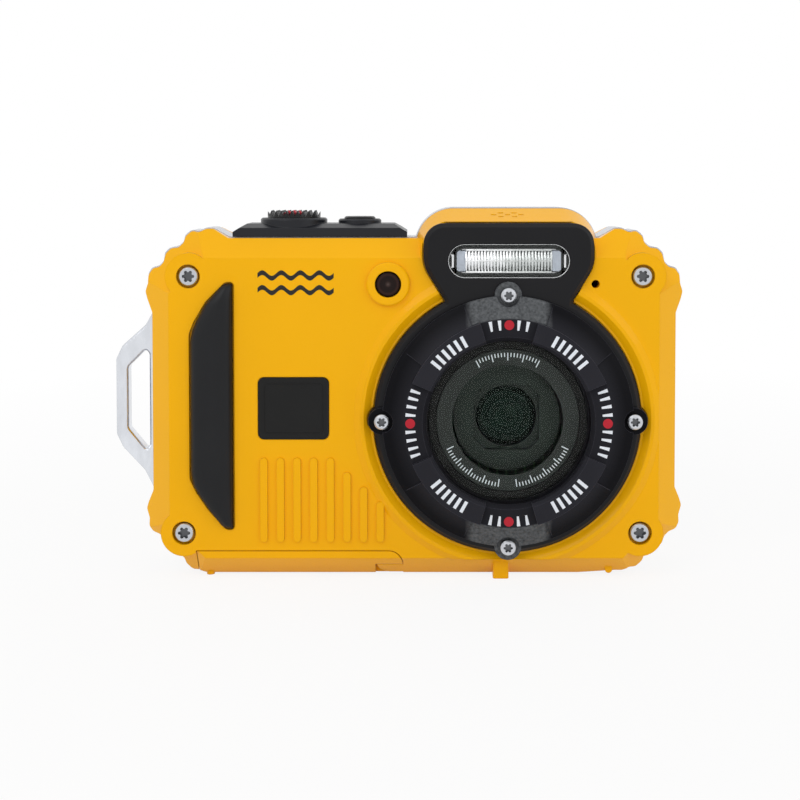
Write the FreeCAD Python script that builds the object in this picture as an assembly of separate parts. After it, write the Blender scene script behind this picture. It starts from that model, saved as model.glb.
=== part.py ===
import FreeCAD, Part
import math
import os

# A rugged waterproof compact camera, in millimetres.
# While it is modelled, X runs to the right seen from the front, Y to the back and Z up,
# with X = 0 in the middle of the body and Z = 0 on its underside.
# Each finished piece is moved so that the mouth of the tripod socket is the origin.

Vector = FreeCAD.Vector

# Small values used all over
sink = 0.3
spare = 1.0
through = 100.0
edge_bevel = 0.3
fit_gap = 0.1
seat_gap = 0.05
press_gap = 0.02
corner_share = 0.48
nearly_straight = 0.01

# Body outline, seen from the front
half_width = 52.4
body_height = 67.4
lobe_out = 1.7
lobe_up = 1.8
right_rise = 0.65
right_rise_x = 33.0
outline_round = 1.1
wall = 1.8
corner_land = 9.5
room_round = 2.0
pillar_radius = 3.4

# Depths of the body, from the front panel to the back
panel_y = -10.4
front_depth = 6.6
frame_depth = 8.1
rear_depth = 5.7
seam_gap = 0.3
frame_proud = 0.2
gasket_inset = 0.45
gasket_width = 1.0

# Front panel and its bevel
panel_side_inset = 4.0
panel_bottom_z = 4.0
panel_top_inset = 3.8
panel_cut = 7.0
rear_taper = 2.4

# Lens surround
lens_x = 18.4
lens_z = 31.8
bezel_radius = 26.3
bezel_thick = 2.6
bezel_recess = 0.8
bezel_gap = 0.25
bezel_bevel = 0.8
collar_radius = 30.3
collar_crest_radius = 29.0
collar_lip_radius = 28.3
collar_height = 0.9
lobe_radius = 2.75
light_radius = 13.6

# Trim ring
ring_radius = 24.6
ring_inner_radius = 16.0
ring_flat_radius = 20.3
ring_flange = 0.8
ring_rim_height = 1.1
ring_low_height = 3.2
ring_high_height = 4.2
ring_screw_circle = 24.7
ring_notch_radius = 2.2
side_gap_angle = 23.0
end_gap_angle = 16.0
side_slope_angle = 34.0
end_slope_angle = 21.0
ring_bevel = 0.8
block_bevel = 0.6
block_step = 0.3
block_overlap = 0.5

# Window behind the trim ring
window_radius = 15.6
window_thick = 1.2
window_ledge_width = 1.6
seal_section = 0.8
mask_width = 3.0
mask_thick = 0.2
window_seat_drop = 0.6
seal_gap = 0.15

# Flash housing
flash_x = 18.6
flash_z = 63.1
flash_half_width = 16.7
flash_top_z = 70.5
flash_round = 7.0
flash_side_z = 62.0
waist_half_width = 12.6
waist_z = 55.4
waist_round = 1.5
waist_sink = 8.0
flash_window_half = 11.9
flash_window_half_height = 3.3
flash_window_thick = 1.3
flash_window_proud = 0.2
flash_window_bevel = 0.4
reflector_half = 10.4
reflector_half_height = 2.6
reflector_depth = 3.2
reflector_gap = 0.2
reflector_wall = 0.6
reflector_lip = 0.35
reflector_knee = 1.6
reflector_back_half = 1.1
tube_radius = 1.0
hump_side = 1.5
hump_rise = 2.8
hump_front_side = 0.5
hump_front_rise = 0.3
hump_back_side = 0.4
hump_back_rise = 0.2
hump_sink = 5.0
speaker_y = -7.0
speaker_row = 0.9
speaker_pitch = 2.7
speaker_length = 1.0
speaker_width = 0.45
speaker_depth = 0.9

# Screws
case_screw_top_inset = 7.4
case_screw_top_left_inset = 7.9
case_screw_top_right_inset = 7.3
case_screw_low_left_inset = 6.8
case_screw_low_right_inset = 7.6
case_screw_low_z = 9.0
case_head_radius = 2.0
case_head_height = 1.2
case_head_hole_radius = 2.35
case_head_depth = 1.3
case_shank_radius = 0.95
screw_slack = 0.2
boss_radius = 4.6
insert_radius = 1.9
insert_length = 4.6
thread_gap = 0.05
screw_tip_gap = 0.4
drive_share = 0.45
drive_depth = 0.8
drive_lobe_share = 0.36
drive_core_share = 0.95
ring_head_radius = 1.5
ring_head_height = 1.2
ring_shank_radius = 0.8
ring_shank_length = 4.3

# Grip pad, badge and ribs
grip_points = [
    (-35.5, 9.7), (-35.5, 58.9), (-37.2, 58.9), (-41.1, 55.0), (-43.4, 51.1),
    (-44.4, 48.6), (-44.4, 19.8), (-43.1, 17.1), (-40.7, 13.6), (-37.2, 9.7)]
grip_rounds = [1.4, 1.4, 1.4, 3.0, 3.0, 2.0, 2.0, 3.0, 3.0, 1.4]
grip_recess = 0.8
grip_gap = 0.35
grip_stand = 1.3
grip_edge = 0.8
grip_slope = 1.9
grip_crown = 0.7
badge_x = -23.8
badge_z = 33.9
badge_width = 13.9
badge_height = 12.2
badge_round = 1.2
badge_recess = 0.5
badge_proud = 0.15
rib_count = 8
rib_first_x = -29.7
rib_pitch = 3.29
rib_width = 1.5
rib_height = 0.45
rib_bottom_z = 7.3
rib_full_top_z = 24.1
rib_full_count = 5
rib_step = 2.9

# Autofocus lamp and microphone hole
lamp_x = -5.1
lamp_z = 58.5
lamp_radius = 2.5
lamp_boss_radius = 4.3
lamp_boss_height = 0.9
lamp_window_thick = 1.3
lamp_window_recess = 0.2
lamp_led_radius = 1.5
lamp_led_length = 1.8
mic_x = 35.75
mic_z = 58.5
mic_radius = 0.8

# Top plate and its buttons
plate_left_x = -36.3
plate_right_x = -1.4
plate_front_y = -6.1
plate_back_y = 7.5
plate_edge_height = 1.8
plate_height = 2.6
plate_slope = 2.6
plate_end_bevel = 1.6
plate_end_slope = 1.6
button_y = 0.8
shutter_x = -24.6
shutter_collar_radius = 6.8
shutter_collar_height = 1.1
shutter_radius = 5.4
shutter_well = 1.4
shutter_stem_radius = 1.8
shutter_boss_radius = 3.2
shutter_lift = 0.2
shutter_disc = 1.2
ridge_pitch = 1.1
ridge_height = 1.25
accent_radius = 2.0
accent_drop = 0.45
accent_floor = 0.6
shutter_seal_drop = 0.9
shutter_seal_width = 0.9
shutter_seal_gap = 0.12
spring_outer = 1.2
spring_inner = 0.5
shutter_travel = 0.9
power_x = -11.1
power_collar_radius = 4.4
power_collar_height = 0.9
power_radius = 3.2
power_well = 1.0
power_stem_radius = 1.4
power_boss_radius = 2.4
power_proud = 0.5
power_head_drop = 0.2
power_travel = 0.5
stem_gap = 0.05
boss_drop = 2.0
boss_gap = 0.2
switch_gap = 0.3
switch_board_thick = 0.8
switch_board_left = 8.0
switch_board_right = 6.0
switch_board_back = 3.0
switch_board_gap = 0.4
tip_drop = 1.2

# Battery door and its hinge
door_left_x = -43.1
door_front_height = 5.4
door_floor = 2.6
door_wall = 1.2
door_front_wall = 1.3
door_back_y = 5.6
door_gap = 0.15
pin_x = -5.0
pin_z = door_front_height / 2
pin_radius = 0.6
pin_gap = 0.05
pin_wall = 1.0
pin_cover = 0.7
lug_radius = 2.4
lug_depth = 2.6
lug_reach = 6.0
lug_rise = 4.5
lug_lift = 0.2
door_gasket_thick = 1.0
door_gasket_width = 0.9
door_gasket_inset = 0.9

# Door latch
latch_width = 6.0
latch_depth = 4.6
latch_plate_thick = 0.9
latch_lift = 0.05
latch_x = -38.4
latch_y = -1.0
latch_tongue_width = 2.0
latch_tongue_thick = 0.85
latch_reach = 1.0
latch_travel = 1.8
latch_gap = 0.1
latch_groove = 0.25
latch_groove_count = 4
latch_groove_pitch = 1.2

# Battery, card and socket
battery_width = 30.0
battery_thick = 6.0
battery_height = 40.0
battery_right_x = -9.4
battery_front_y = -6.4
battery_gap = 0.25
battery_round = 1.0
battery_head_gap = 0.4
battery_foot_gap = 0.3
holder_wall = 0.7
holder_flange = 0.9
holder_base_gap = 0.1
holder_rib_width = 1.2
holder_back_wall = 0.4
card_width = 24.0
card_thick = 2.1
card_height = 32.0
card_left_x = -39.6
card_slot_wall = 0.4
card_gap = 0.15
card_cut = 3.0
card_head_gap = 0.8
mouth_drop = 0.2
socket_width = 5.6
socket_depth = 2.8
socket_height = 6.0
socket_wall = 0.5
socket_gap = 0.3

# Feet
foot_drop = 0.4
peg_x = 17.3
peg_width = 3.15
peg_front_y = -9.4
peg_depth = 3.0
peg_top_z = 3.0
peg_round = 0.5
back_foot_x = 38.0
back_foot_radius = 1.25
back_foot_inset = 3.4
door_foot_x = -41.0
door_foot_y = -6.0
door_foot_radius = 0.8
rib_foot_x = 39.0
rib_foot_z = 1.0
rib_foot_radius = 0.75
rib_foot_front_y = -7.8

# Tripod socket
tripod_x = lens_x
tripod_y = 0.55
tripod_hole_radius = 2.55
tripod_hole_depth = 5.5
tripod_body_radius = 3.7
tripod_flange_radius = 5.0
tripod_flange_thick = 1.2
tripod_height = 6.5
saddle_half_width = 8.0
saddle_thick = 1.5

# Strap lug, its points given as distances out from the side of the body and heights
strap_outline = [
    (-1.6, 53.2), (0.2, 53.2), (2.2, 49.6), (7.0, 45.3), (8.3, 42.6),
    (8.3, 27.2), (7.0, 24.5), (2.6, 19.8), (0.2, 15.0), (-1.6, 15.0)]
strap_rounds = [0.0, 0.6, 1.5, 1.5, 1.5, 1.5, 1.5, 2.0, 0.6, 0.0]
strap_hole_outline = [(1.5, 43.6), (2.2, 44.6), (5.8, 41.0), (5.8, 28.4), (2.2, 24.0), (1.5, 25.0)]
strap_hole_rounds = [0.5, 0.5, 1.2, 1.2, 0.5, 0.5]
strap_y = -1.0
strap_thick = 2.8
strap_bevel = 0.35
strap_gap = 0.05

# Folded zoom lens, which turns the light upwards behind the window
housing_half_width = 9.5
housing_back_y = 4.2
housing_front_y = -7.4
housing_below = 8.0
housing_above = 33.0
snout_radius = 10.6
snout_front_y = -8.4
baffle_size = 13.0
baffle_cut = 2.2
baffle_depth = 1.4
front_element_radius = 6.0
front_element_thick = 2.4
front_element_dome = 0.7
prism_size = 7.6
prism_front_y = -4.3
track_half_width = 7.6
track_clearance = 0.6
carriage_gap = 0.25
glass_inset = 0.3
rod_radius = 0.6
rod_x = 6.2
rod_y = -3.1
rod_far_y = 2.1
rod_grip = 1.5
rod_end_wall = 0.8
carriage_half_width = 7.2
zoom_thick = 4.0
zoom_height = 9.4
focus_thick = 3.0
focus_height = 23.2
group_radius = 3.0
zoom_travel = 6.5
motor_offset = 13.2
motor_radius = 3.4
motor_length = 8.0
lead_radius = 0.8
lead_offset = 1.5
lead_over = 4.0
nut_radius = 1.8
arm_thick = 2.0
arm_gap = 0.3
arm_slot_depth = 3.0
arm_slot_end = 1.5
motor_drop = 3.5
motor_bracket_half = 2.0
motor_bracket_low = 1.0
motor_bracket_high = 3.0
ear_lift = 2.5
ear_half = 1.6
ear_thick = 1.2
sensor_width = 11.0
sensor_thick = 1.6
sensor_height = 29.4
sensor_gap = 0.3

# Flash capacitor
capacitor_x = 43.0
capacitor_y = -2.6
capacitor_radius = 4.8
capacitor_bottom_z = 15.0
capacitor_length = 31.0
capacitor_bracket_half = 1.5
capacitor_bracket_low = 8.0
capacitor_bracket_high = 14.0

# Main board, display and keys
board_front_y = 4.4
board_thick = 1.0
board_left_x = -34.0
board_right_x = 40.5
board_bottom_z = 8.3
board_top_inset = 11.4
chip_size = 11.0
chip_thick = 0.7
chips_below_top = [(-24.0, 9.0), (-6.0, 20.0)]
display_left_gap = 3.0
display_right_inset = 8.4
display_bottom_z = 13.2
display_top_inset = 11.8
display_thick = 2.5
display_margin = 2.6
display_window_thick = 0.9
display_window_margin = 1.6
display_window_round = 1.5
key_board_thick = 0.7
key_board_left_inset = 5.4
key_board_width = 31.5
key_board_bottom_z = 15.0
key_board_top_inset = 11.4
key_board_cut = 3.0
key_post_inset = 2.0
key_post_low_inset = 2.5
key_post_low = 3.0
key_post_drop = 6.5
key_travel = 0.6
key_proud = 0.4
key_flange = 0.7
key_flange_thick = 0.7
key_hole_gap = 0.08
key_back_gap = 0.2
pad_left_inset = 20.9
pad_drop = 38.9
pad_radius = 9.0
pad_hole_radius = 4.3
ok_radius = 4.1
key_pitch = 10.0
record_drop = 16.1
record_radius = 3.0
zoom_key_drop = 15.1
tele_offset = -0.5
wide_offset = 8.5
zoom_key_radius = 3.0
small_key_drop = 24.9
small_key_radius = 2.2
post_radius = 1.5

# Places and planes that follow from the values above
panel_half_width = half_width - panel_side_inset
panel_top_z = body_height - panel_top_inset
window_ledge_radius = window_radius - window_ledge_width
mask_inner_radius = window_ledge_radius - fit_gap - mask_width
case_screws_at = [
    (case_screw_top_left_inset - half_width, body_height - case_screw_top_inset),
    (half_width - case_screw_top_right_inset, body_height - case_screw_top_inset),
    (case_screw_low_left_inset - half_width, case_screw_low_z),
    (half_width - case_screw_low_right_inset, case_screw_low_z)]
seam_front_y = panel_y + front_depth
frame_front_y = seam_front_y + seam_gap
frame_back_y = frame_front_y + frame_depth
rear_front_y = frame_back_y + seam_gap
back_y = rear_front_y + rear_depth
panel_inner_y = panel_y + wall
back_inner_y = back_y - wall
lamp_seat_y = panel_y - lamp_boss_height + lamp_window_thick + lamp_window_recess
bezel_seat_y = panel_y + bezel_recess
bezel_front_y = bezel_seat_y - bezel_thick
ring_flange_y = bezel_front_y - ring_flange
plate_base_z = body_height + frame_proud
plate_top_z = plate_base_z + plate_height
inner_top_z = body_height - wall
rear_taper_y = back_y - rear_taper
strap_points = [(-half_width - out, z) for out, z in strap_outline]
strap_hole_points = [(-half_width - out, z) for out, z in strap_hole_outline]

# Places of the boards, the display and the keys, tied to the body's left side and top
board_top_z = body_height - board_top_inset
chips_at = [(x, board_top_z - drop) for x, drop in chips_below_top]
key_board_left_x = key_board_left_inset - half_width
key_board_right_x = key_board_left_x + key_board_width
key_board_top_z = body_height - key_board_top_inset
key_posts_at = [
    (key_board_left_x + key_post_inset, key_board_bottom_z + key_post_low),
    (key_board_right_x - key_post_inset, key_board_top_z - key_post_drop),
    (key_board_right_x - key_post_low_inset, key_board_bottom_z + key_post_low)]
display_left_x = key_board_right_x + display_left_gap
display_right_x = half_width - display_right_inset
display_top_z = body_height - display_top_inset
pad_x = pad_left_inset - half_width
pad_z = body_height - pad_drop
record_at = (pad_x - key_pitch, body_height - record_drop)
tele_at = (pad_x + tele_offset, body_height - zoom_key_drop)
wide_at = (pad_x + wide_offset, body_height - zoom_key_drop)
menu_at = (pad_x - key_pitch, body_height - small_key_drop)
play_at = (pad_x + key_pitch, body_height - small_key_drop)
delete_at = (pad_x, body_height - small_key_drop)


def corner_steps():
    """Scalloped corner, as distances in from the side lobe line and down from the top one."""
    return [
        (lobe_out, 16.7), (0.5, 14.1), (0.0, 12.6), (0.7, 10.8), (0.6, 9.3), (1.4, 8.0),
        (2.8, 7.7), (3.7, 6.8), (4.0, 5.0), (5.0, 4.0), (6.7, 3.8), (7.8, 2.8),
        (8.1, 1.5), (9.4, 0.4), (10.9, 0.7), (12.3, 0.0), (13.8, 0.0), (17.0, lobe_up)]


def outline_points(grow):
    """Body outline, counterclockwise from the flat underside; its bottom right corner sits a little higher."""
    side = half_width + lobe_out + grow
    top = body_height + lobe_up + grow
    upper = corner_steps()
    lower = upper[:-1]
    points = [(right_rise_x, -grow)]
    points += [(side - dx, dz - grow + right_rise) for dx, dz in reversed(lower)]
    points += [(side - dx, top - dz) for dx, dz in upper]
    points += [(dx - side, top - dz) for dx, dz in reversed(upper)]
    points += [(dx - side, dz - grow) for dx, dz in lower]
    return points


def corner_arc(before, corner, after, radius):
    """Start, middle and end of the arc that rounds one corner."""
    to_before = before - corner
    to_after = after - corner
    reach = corner_share * min(to_before.Length, to_after.Length)
    first = to_before / to_before.Length
    second = to_after / to_after.Length
    angle = first.getAngle(second)
    if radius <= 0 or abs(angle - math.pi) < nearly_straight:
        return [corner]
    inset = min(radius / math.tan(angle / 2), reach)
    round_radius = inset * math.tan(angle / 2)
    inward = (first + second) / (first + second).Length
    centre = corner + inward * (round_radius / math.sin(angle / 2))
    return [corner + first * inset, centre - inward * round_radius, corner + second * inset]


def rounded_wire(points, radii, place):
    """Closed wire through flat points, its corners rounded, put in space by the place function."""
    flat = [Vector(u, v, 0) for u, v in points]
    count = len(flat)
    if not isinstance(radii, (list, tuple)):
        radii = [radii] * count
    corners = []
    for index, corner in enumerate(flat):
        before = flat[index - 1]
        after = flat[(index + 1) % count]
        corners.append([place(p) for p in corner_arc(before, corner, after, radii[index])])
    edges = []
    for index, corner in enumerate(corners):
        if len(corner) == 3:
            edges.append(Part.Arc(*corner).toShape())
        start = corner[-1]
        end = corners[(index + 1) % count][0]
        if (end - start).Length > 1e-6:
            edges.append(Part.LineSegment(start, end).toShape())
    return Part.Wire(edges)


def wire_y(points, radii, y):
    """Rounded wire of (x, z) points in the plane at y."""
    return rounded_wire(points, radii, lambda p: Vector(p.x, y, p.y))


def prism_y(points, radii, y0, y1):
    """Rounded outline of (x, z) points, extruded from y0 to y1."""
    return Part.Face(wire_y(points, radii, y0)).extrude(Vector(0, y1 - y0, 0))


def prism_z(points, radii, z0, z1):
    """Rounded outline of (x, y) points, extruded from z0 to z1."""
    wire = rounded_wire(points, radii, lambda p: Vector(p.x, p.y, z0))
    return Part.Face(wire).extrude(Vector(0, 0, z1 - z0))


def prism_x(points, x0, x1):
    """Outline of (y, z) points, extruded from x0 to x1."""
    wire = rounded_wire(points, 0, lambda p: Vector(x0, p.x, p.y))
    return Part.Face(wire).extrude(Vector(x1 - x0, 0, 0))


def loft_y(low_points, high_points, radii, y0, y1):
    """Solid between two alike outlines at y0 and y1."""
    return Part.makeLoft([wire_y(low_points, radii, y0), wire_y(high_points, radii, y1)], True, True)


def box(x0, x1, y0, y1, z0, z1):
    """Box between two corners."""
    return Part.makeBox(x1 - x0, y1 - y0, z1 - z0, Vector(x0, y0, z0))


def rod_along_y(x, z, radius, y0, y1):
    """Round rod along Y."""
    return Part.makeCylinder(radius, y1 - y0, Vector(x, y0, z), Vector(0, 1, 0))


def rod_along_z(x, y, radius, z0, z1):
    """Round rod along Z."""
    return Part.makeCylinder(radius, z1 - z0, Vector(x, y, z0), Vector(0, 0, 1))


def rod_along_x(y, z, radius, x0, x1):
    """Round rod along X."""
    return Part.makeCylinder(radius, x1 - x0, Vector(x0, y, z), Vector(1, 0, 0))


def rectangle(x0, x1, z0, z1):
    """Corner points of a rectangle, counterclockwise."""
    return [(x0, z0), (x1, z0), (x1, z1), (x0, z1)]


def cut_rectangle(x0, x1, z0, z1, cut):
    """Corner points of a rectangle with its four corners cut off."""
    return [
        (x0 + cut, z0), (x1 - cut, z0), (x1, z0 + cut), (x1, z1 - cut),
        (x1 - cut, z1), (x0 + cut, z1), (x0, z1 - cut), (x0, z0 + cut)]


def stadium(x, z, half, half_height, y0, y1):
    """Level stadium shape, extruded along Y."""
    middle = box(x - half + half_height, x + half - half_height, y0, y1, z - half_height, z + half_height)
    left = rod_along_y(x - half + half_height, z, half_height, y0, y1)
    right = rod_along_y(x + half - half_height, z, half_height, y0, y1)
    return middle.fuse([left, right]).removeSplitter()


def turned(profile, x, z, start=0.0, sweep=360.0):
    """Profile of (radius, y) points turned about an axis along Y, from a start angle seen from the front."""
    wire = rounded_wire(profile, 0, lambda p: Vector(x + p.x, p.y, z))
    axis_point = Vector(x, 0, z)
    face = Part.Face(wire)
    face.rotate(axis_point, Vector(0, -1, 0), start)
    return face.revolve(axis_point, Vector(0, -1, 0), sweep)


def edges_in_plane(shape, axis, value):
    """Edges that lie wholly in the plane where the axis has the value."""
    found = []
    for edge in shape.Edges:
        limits = edge.BoundBox
        low = getattr(limits, axis + "Min")
        high = getattr(limits, axis + "Max")
        if abs(low - value) < 1e-4 and abs(high - value) < 1e-4:
            found.append(edge)
    return found


def bevelled(shape, axis, value, size):
    """Shape with every edge in one plane bevelled."""
    return shape.makeChamfer(size, edges_in_plane(shape, axis, value))


def joined(first, others):
    """One solid of several pieces that touch or overlap."""
    return first.fuse(others).removeSplitter()


def six_lobe_drive(x, z, radius, y0, y1):
    """Star shaped socket for a driver, along Y."""
    lobes = []
    for turn in range(6):
        angle = math.radians(60 * turn)
        lobe_x = x + radius * math.cos(angle)
        lobe_z = z + radius * math.sin(angle)
        lobes.append(rod_along_y(lobe_x, lobe_z, drive_lobe_share * radius, y0, y1))
    return rod_along_y(x, z, drive_core_share * radius, y0, y1).fuse(lobes)


def bevel_block(face_y, far_y, half, z0, z1, cut):
    """Block with cut corners that widens at 45 degrees away from its face."""
    grow = abs(far_y - face_y)
    face_points = cut_rectangle(-half, half, z0, z1, cut)
    wide_cut = cut + grow * (2 - math.sqrt(2))
    far_points = cut_rectangle(-half - grow, half + grow, z0 - grow, z1 + grow, wide_cut)
    return loft_y(face_points, far_points, 0, face_y, far_y)


def hump_points(side, rise):
    """Rounded block round the flash, wider than the black housing by the side and higher by the rise."""
    half = flash_half_width + side
    return rectangle(flash_x - half, flash_x + half, flash_side_z - hump_sink, flash_top_z + rise)


def hump(side0, rise0, side1, rise1, y0, y1):
    """Hump over the flash between two depths."""
    rounds = [0, 0, flash_round + side0, flash_round + side0]
    return loft_y(hump_points(side0, rise0), hump_points(side1, rise1), rounds, y0, y1)


def body_room(y0, y1):
    """Inside of the body walls, with solid corners and pillars for the screws."""
    outline = cut_rectangle(-half_width + wall, half_width - wall, wall, inner_top_z, corner_land)
    room = prism_y(outline, room_round, y0, y1)
    return room.cut([rod_along_y(x, z, pillar_radius, y0, y1) for x, z in case_screws_at])


def front_room(open_y):
    """Inside of the front cover, which follows the bevel at the thickness of the wall."""
    inset = wall * (math.sqrt(2) - 1)
    slope = bevel_block(
        panel_inner_y, open_y, panel_half_width - inset, panel_bottom_z + inset, panel_top_z - inset,
        panel_cut)
    return body_room(panel_inner_y, open_y).common(slope)


def hump_room(y0, y1):
    """Room behind the flash, open to the inside of the body."""
    half = waist_half_width
    return box(flash_x - half, flash_x + half, y0, y1, waist_z, flash_top_z - wall)


def front_envelope():
    """Outer form of the front cover without its details."""
    block = prism_y(outline_points(0), outline_round, panel_y, seam_front_y)
    slope = bevel_block(panel_y, seam_front_y, panel_half_width, panel_bottom_z, panel_top_z, panel_cut)
    bosses = [rod_along_y(x, z, boss_radius, panel_y, seam_front_y) for x, z in case_screws_at]
    return block.common(joined(slope, bosses))


def rear_envelope():
    """Outer form of the rear cover without its details."""
    block = prism_y(outline_points(0), outline_round, rear_front_y, back_y)
    half = half_width - rear_taper
    slope = bevel_block(
        back_y, rear_front_y, half, rear_taper, body_height - rear_taper, panel_cut)
    return block.common(slope)


def bezel_outline_solid(grow, y0, y1):
    """Figure of the black surround: the flash housing over the round lens base and its screw lobes."""
    half = flash_half_width + grow
    waist = waist_half_width + grow
    upper = [
        (flash_x - waist, waist_z - waist_sink), (flash_x + waist, waist_z - waist_sink),
        (flash_x + waist, waist_z), (flash_x + half, flash_side_z),
        (flash_x + half, flash_top_z + grow), (flash_x - half, flash_top_z + grow),
        (flash_x - half, flash_side_z), (flash_x - waist, waist_z)]
    outer_round = flash_round + grow
    rounds = [0, 0, waist_round, flash_round, outer_round, outer_round, flash_round, waist_round]
    housing = prism_y(upper, rounds, y0, y1)
    base = rod_along_y(lens_x, lens_z, bezel_radius + grow, y0, y1)
    lobes = [rod_along_y(x, z, lobe_radius + grow, y0, y1) for x, z in ring_screws_at()]
    return joined(housing, [base] + lobes)


def ring_screws_at():
    """Four screws round the lens, at its top, left, bottom and right."""
    places = []
    for turn in range(4):
        angle = math.radians(90 * turn)
        places.append((
            lens_x + ring_screw_circle * math.cos(angle),
            lens_z + ring_screw_circle * math.sin(angle)))
    return places


def rib(index):
    """One of the upright ribs under the badge, with rounded ends."""
    x = rib_first_x + index * rib_pitch
    drop = max(0, index - rib_full_count + 1) * rib_step
    top_z = rib_full_top_z - drop
    half = rib_width / 2
    front_y = panel_y - rib_height
    root_y = panel_y + sink
    bar = box(x - half, x + half, front_y, root_y, rib_bottom_z + half, top_z - half)
    low_end = rod_along_y(x, rib_bottom_z + half, half, front_y, root_y)
    high_end = rod_along_y(x, top_z - half, half, front_y, root_y)
    return joined(bar, [low_end, high_end])


def door_opening(y0, y1):
    """Space that the battery door fills, with room beside the hinge for the open door's outer face."""
    height = door_front_height + door_gap
    opening = box(door_left_x - door_gap, pin_x, y0, y1, -spare, height)
    round_end = rod_along_y(pin_x, pin_z, pin_z + door_gap, y0, y1)
    upper = box(pin_x, pin_x + pin_z + spare, y0, y1, pin_z, height)
    lower = box(pin_x, pin_x + pin_z + door_gap, y0, y1, -spare, pin_z)
    return opening.fuse([round_end.common(upper), lower])


def button_wells():
    """Holes in the frame's top wall for the guides of the two top buttons."""
    low_z = inner_top_z - spare
    high_z = plate_base_z + spare
    return [
        rod_along_z(shutter_x, button_y, shutter_boss_radius + boss_gap, low_z, high_z),
        rod_along_z(power_x, button_y, power_boss_radius + boss_gap, low_z, high_z)]


def hinge_lug(y0, y1):
    """Block of a cover that holds an end of the door's hinge pin."""
    top_z = pin_z + lug_rise
    eye = rod_along_y(pin_x, pin_z, lug_radius, y0, y1)
    upper = box(pin_x - lug_radius, pin_x + lug_reach, y0, y1, pin_z, top_z)
    lower = box(pin_x, pin_x + lug_reach, y0, y1, lug_lift, top_z)
    return joined(eye, [upper, lower])


def pin_front_y():
    """Front end of the hinge pin, closed in by the bevel of the front cover."""
    return panel_y + panel_bottom_z - (pin_z - pin_radius) + pin_cover


def pin_back_y():
    """Back end of the hinge pin, at the back of the rear cover's block."""
    return door_back_y + door_gap + lug_depth


def pin_hole(gap):
    """Bore for the hinge pin, closed at both ends."""
    return rod_along_y(pin_x, pin_z, pin_radius + gap, pin_front_y() - gap, pin_back_y() + gap)


def speaker_slots():
    """Seven short slots in three rows on top of the hump."""
    slope = (hump_rise - hump_front_rise) / front_depth
    slots = []
    for row, columns in ((-1, (-0.5, 0.5)), (0, (-1, 0, 1)), (1, (-0.5, 0.5))):
        y = speaker_y + row * speaker_row
        top_z = flash_top_z + hump_front_rise + slope * (y - panel_y)
        for column in columns:
            x = flash_x + column * speaker_pitch
            slots.append(box(
                x - speaker_length / 2, x + speaker_length / 2, y - speaker_width / 2,
                y + speaker_width / 2, top_z - speaker_depth, top_z + spare))
    return slots


def front_cover():
    """Yellow front shell with its bevel, hump, ribs, recesses and openings."""
    envelope = front_envelope()
    dome = hump(hump_front_side, hump_front_rise, hump_side, hump_rise, panel_y, seam_front_y)
    peg_points = rectangle(peg_x - peg_width / 2, peg_x + peg_width / 2, peg_front_y, peg_front_y + peg_depth)
    peg = prism_z(peg_points, [peg_round, peg_round, 0, 0], -foot_drop, peg_top_z)
    rib_foot = rod_along_y(rib_foot_x, rib_foot_z, rib_foot_radius, rib_foot_front_y, seam_front_y)
    shell = joined(envelope, [dome, peg, rib_foot])
    open_y = seam_front_y + spare
    shell = shell.cut([front_room(open_y), hump_room(panel_inner_y, open_y)])
    ribs = [rib(index) for index in range(rib_count)]
    shell = joined(shell, [lens_collar(), lamp_boss()] + ribs)
    front_y = panel_y - through
    cuts = [
        prism_y(grip_points, grip_rounds, front_y, panel_y + grip_recess),
        prism_y(badge_outline(fit_gap), badge_round, front_y, panel_y + badge_recess),
        bezel_outline_solid(bezel_gap, front_y, bezel_seat_y),
        rod_along_y(lens_x, lens_z, light_radius, front_y, 0),
        box(
            flash_x - reflector_half - reflector_gap, flash_x + reflector_half + reflector_gap, front_y, 0,
            flash_z - reflector_half_height - reflector_gap, flash_z + reflector_half_height + reflector_gap),
        rod_along_y(lamp_x, lamp_z, lamp_radius + fit_gap, front_y, lamp_seat_y),
        rod_along_y(lamp_x, lamp_z, lamp_led_radius + fit_gap, front_y, 0),
        rod_along_y(mic_x, mic_z, mic_radius, front_y, 0),
        door_opening(front_y, 0)]
    cuts += speaker_slots()
    for x, z in ring_screws_at():
        cuts.append(rod_along_y(x, z, ring_shank_radius + thread_gap, front_y, 0))
    for x, z in case_screws_at:
        cuts.append(rod_along_y(x, z, case_head_hole_radius, front_y, panel_y + case_head_depth))
        cuts.append(rod_along_y(x, z, case_shank_radius + screw_slack, front_y, 0))
    lug = hinge_lug(panel_inner_y, panel_inner_y + lug_depth).common(envelope)
    return joined(shell.cut(cuts), [lug]).cut(pin_hole(press_gap))


def lens_collar():
    """Low yellow ridge round the lens surround, cut off at the panel's edges."""
    profile = [
        (collar_radius, panel_y), (collar_crest_radius, panel_y - collar_height),
        (collar_lip_radius, panel_y - collar_height), (bezel_radius + sink, panel_y + sink),
        (collar_radius, panel_y + sink)]
    limits = box(-half_width, panel_half_width, -through, 0, panel_bottom_z, panel_top_z)
    return turned(profile, lens_x, lens_z).common(limits)


def lamp_boss():
    """Raised yellow ring round the focus lamp."""
    front_y = panel_y - lamp_boss_height
    boss = rod_along_y(lamp_x, lamp_z, lamp_boss_radius, front_y, panel_y + sink)
    return bevelled(boss, "Y", front_y, edge_bevel)


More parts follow.
